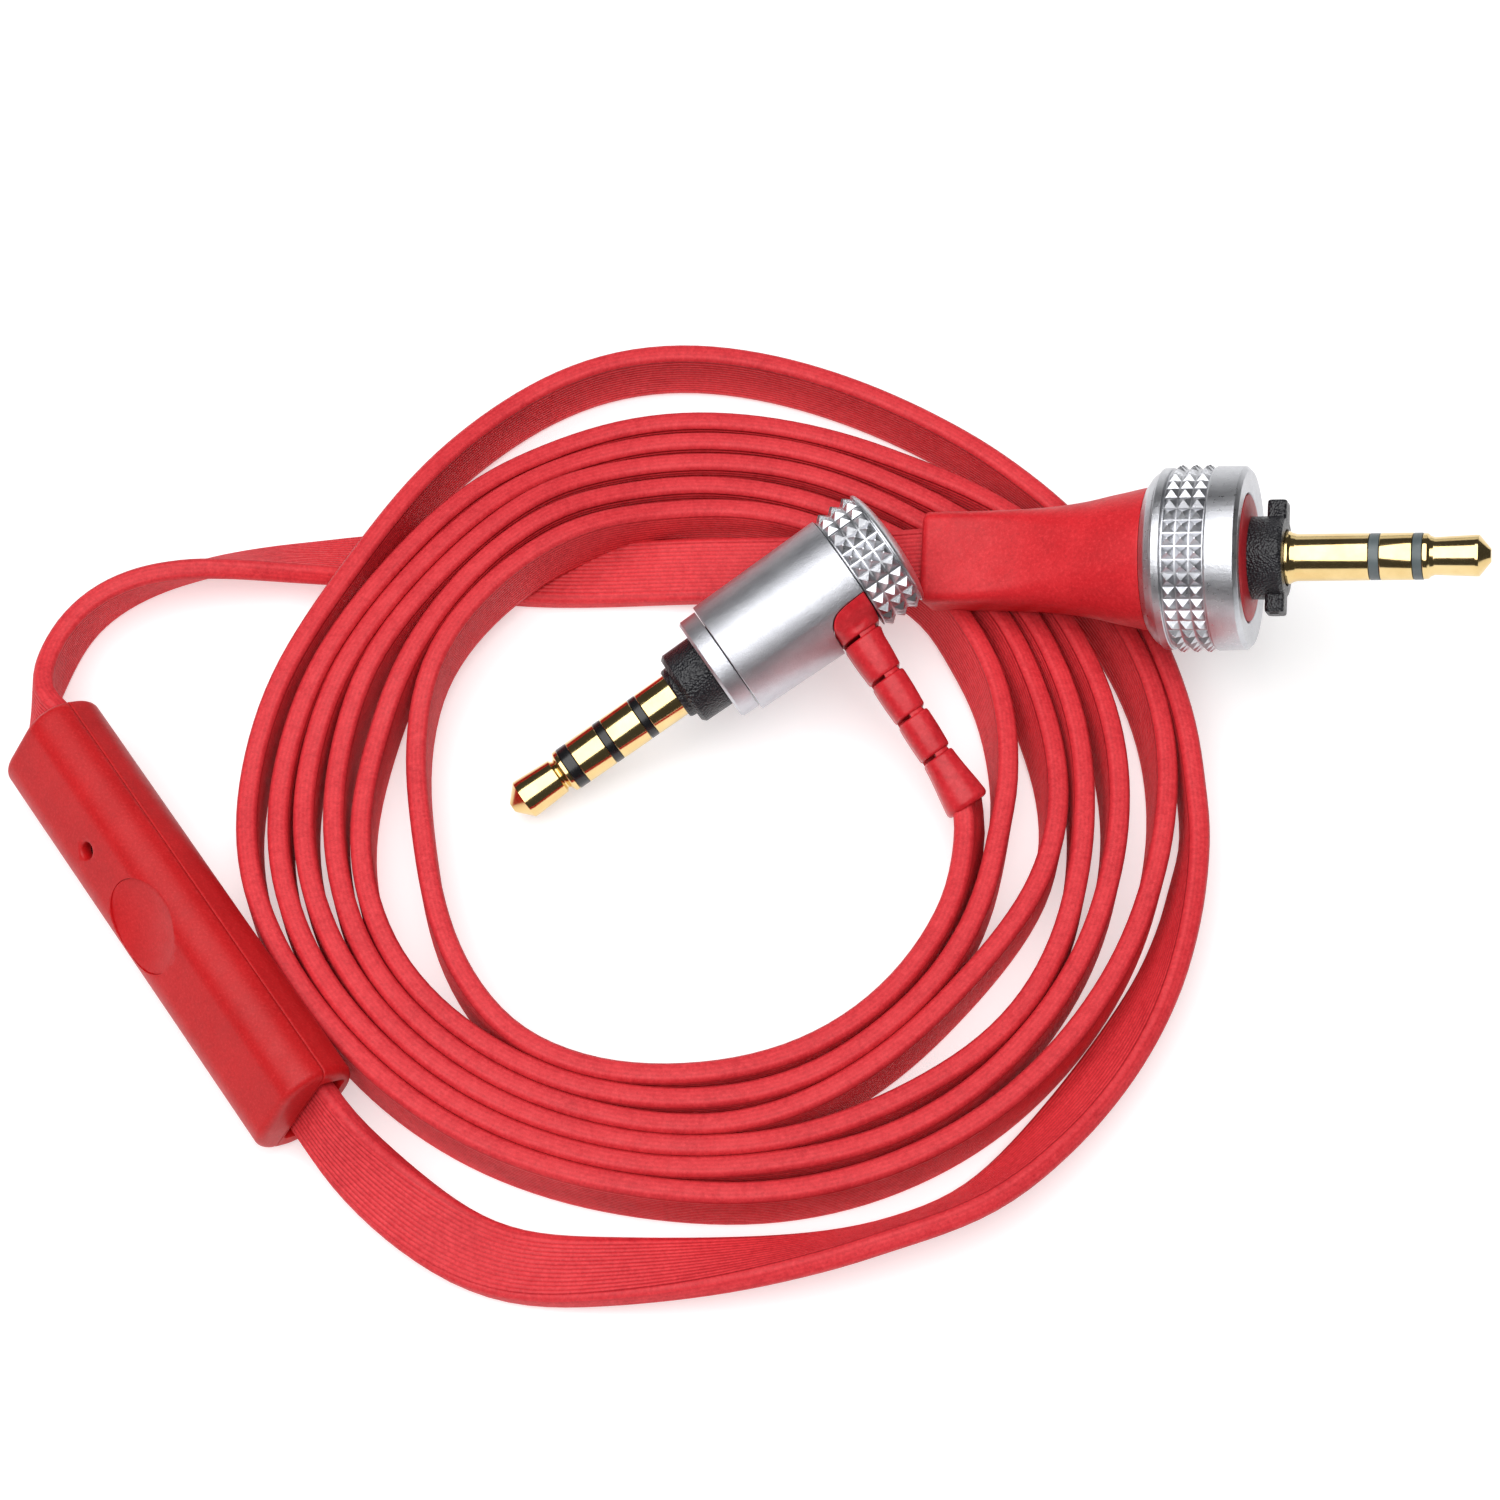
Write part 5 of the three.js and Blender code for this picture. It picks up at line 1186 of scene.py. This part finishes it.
def remote_body(name, x0, x1, fillet, off=0.0, n=70):
    xs = np.r_[x0 + fillet * (1 - np.cos(np.linspace(0, math.pi / 2, 8))), np.linspace(x0 + fillet + 0.4, x1 - fillet - 0.4, n),
               x1 - fillet * (1 - np.cos(np.linspace(math.pi / 2, 0, 8)))]
    rings = []
    for x in xs:
        e = min(x - x0, x1 - x)
        inset = fillet - math.sqrt(max(0.0, fillet**2 - (fillet - e) ** 2)) if e < fillet else 0.0
        o = remote_outline(off - inset)
        rings.append(np.c_[np.full(len(o), x), o])
    return loft(name, rings, REMOTE, 28)


def remote_shells():
    H = R_LENGTH / 2
    cav = round_rect(R_W / 2 - 0.95, R_T / 2 - 0.95, R_CORNER - 0.9, 8, 3)
    front = remote_body("remote_front", -H, H, 0.62)
    back = front.copy()
    back.data = front.data.copy()
    back.name = back.data.name = "remote_back"
    SCENE.collection.objects.link(back)
    for ob, lo, hi in ((front, R_SPLIT + 0.035, 9), (back, -9, R_SPLIT - 0.035)):
        cut(ob, box_tool(-30, 30, -9, 9, lo, hi, REMOTE), "INTERSECT")
        rings = [np.c_[np.full(len(cav), x), cav] for x in (-H + 1.3, H - 1.3)]
        cut(ob, loft("cavity", rings, REMOTE))
        for s in (-1, 1):
            # the cord's slot, flared a little at its mouth
            o0, o1, o2 = (round_rect(w, t, 0.42, 6, 3) for w, t in ((2.95, 1.12), (2.95, 1.12), (3.12, 1.28)))
            seq = [(H - 2.0, o0), (H - 0.28, o1), (H + 0.05, o2), (H + 0.6, o2)]
            rg = [np.c_[np.full(len(o), s * x), o[:, 0], o[:, 1] + R_CORD_Z] for x, o in seq]
            cut(ob, loft("slot", rg, REMOTE))
    # microphone hole with a softened rim
    hole = lathe("mic", [(0.6, 0), (0.6, 0.62), (2.98, 0.62), (3.10, 0.70), (3.30, 1.05), (3.30, 0)], basis(
        REMOTE[:3, 3] + REMOTE[:3, 0] * -7.7 + REMOTE[:3, 1] * -0.35, REMOTE[:3, 2], REMOTE[:3, 0]), 40)
    cut(front, hole)
    t = np.linspace(0, 2 * math.pi, 97)[:-1]
    oval = np.c_[BTN_X + (BTN_A + 0.018) * np.cos(t), (BTN_B + 0.018) * np.sin(t)]
    cut(front, prism_tool(oval, 1.0, 6.0, REMOTE))
    for ob in (front, back):
        bevel(ob, 0.05, 2, 42)
        shade(ob, 34)
    return front, back


def remote_button():
    n, m = 96, 22
    t = np.linspace(0, 2 * math.pi, n + 1)[:-1]
    rings = []
    a, b = BTN_A - 0.012, BTN_B - 0.012
    for s in np.linspace(0.04, 1, m):
        # the button's rim rolls over by a tenth of a millimetre
        x, y = BTN_X + a * s * np.cos(t), b * s * np.sin(t)
        z = dish(x, y)
        gap = (1 - s) * b
        if gap < 0.16:
            z = z - 0.03 * (1 - gap / 0.16) ** 2
        rings.append(np.c_[x, y, z])
    x, y = BTN_X + a * np.cos(t), b * np.sin(t)
    rings.append(np.c_[x, y, dish(x, y) - 0.12])
    rings.append(np.c_[x, y, np.full(n, 1.95)])
    rings.append(np.c_[x, y, np.full(n, 1.78)])
    rings.append(np.c_[BTN_X + (a - 0.1) * np.cos(t), (b - 0.1) * np.sin(t), np.full(n, 1.72)])
    return loft("remote_button_cap", rings, REMOTE, 30)


front, back = remote_shells()
finish_piece(front, M_REMOTE, "remote_red", "cable", "remote_front_shell")
finish_piece(back, M_REMOTE, "remote_red", "cable", "remote_back_shell")
button = remote_button()
finish_piece(button, M_REMOTE, "remote_red", "call_button", "remote_button")

# ---- the pieces inside keep their CAD shapes ----------------------------------------------
for node, mat in (
    ("angled_contact_mould", M_CORE), ("angled_terminal_board", M_BOARD), ("angled_cord_crimp", M_COPPER),
    ("straight_cord_crimp", M_COPPER), ("straight_terminal_board", M_BOARD), ("straight_core", M_CORE), ("collar_clip", M_STEEL),
    ("remote_board", M_BOARD), ("switch_body", M_STEEL), ("switch_plunger", M_BAND), ("mic_capsule", M_STEEL), ("mic_gasket", M_BAND),
    ("board_capacitor", M_COPPER), ("board_resistor", M_BAND), ("cord_anchor_upper", M_STEEL), ("cord_anchor_lower", M_STEEL),
):
    ob = NODES[node]
    if not ob.material_slots:
        ob.data.materials.append(mat.mat)
    for s in ob.material_slots:
        s.material = mat.mat

# ---- floor and light ----------------------------------------------------------------------
fm = bpy.data.meshes.new("floor")
fm.from_pydata([(-2, -2, 0), (2, -2, 0), (2, 2, 0), (-2, 2, 0)], [], [(0, 1, 2, 3)])
floor = bpy.data.objects.new("floor", fm)
SCENE.collection.objects.link(floor)
fn = Nodes("floor_paper")
fn.set(Roughness=0.85, Specular_IOR_Level=0.2, Emission_Color=(1.0, 1.0, 1.0, 1.0), Emission_Strength=0.46)
fn.color(fn.ramp(fn.noise(6, 3, 0.5), [(0.3, (0.69, 0.69, 0.695)), (0.7, (0.71, 0.71, 0.71))]))
floor.data.materials.append(fn.mat)

world = bpy.data.worlds.new("studio")
SCENE.world = world
world.use_nodes = True
wt = world.node_tree
bg = wt.nodes["Background"]
bg.inputs["Color"].default_value = (1.0, 1.0, 1.0, 1)
bg.inputs["Strength"].default_value = 0.06


def area(name, at, to, size, power, color=(1, 1, 1), size_y=None):
    d = bpy.data.lights.new(name, "AREA")
    d.energy = power
    d.color = color
    d.size = size
    if size_y:
        d.shape = "RECTANGLE"
        d.size_y = size_y
    o = bpy.data.objects.new(name, d)
    o.location = at
    o.rotation_euler = (Vector(to) - Vector(at)).to_track_quat("-Z", "Y").to_euler()
    SCENE.collection.objects.link(o)
    return o


area("overhead", (-0.08, -0.07, 0.50), (0, 0, 0), 0.70, 4.7)
area("back", (0.10, 0.75, 0.16), (0, 0, 0.01), 0.60, 0.35, size_y=0.25)

SCENE.view_settings.view_transform = "Standard"
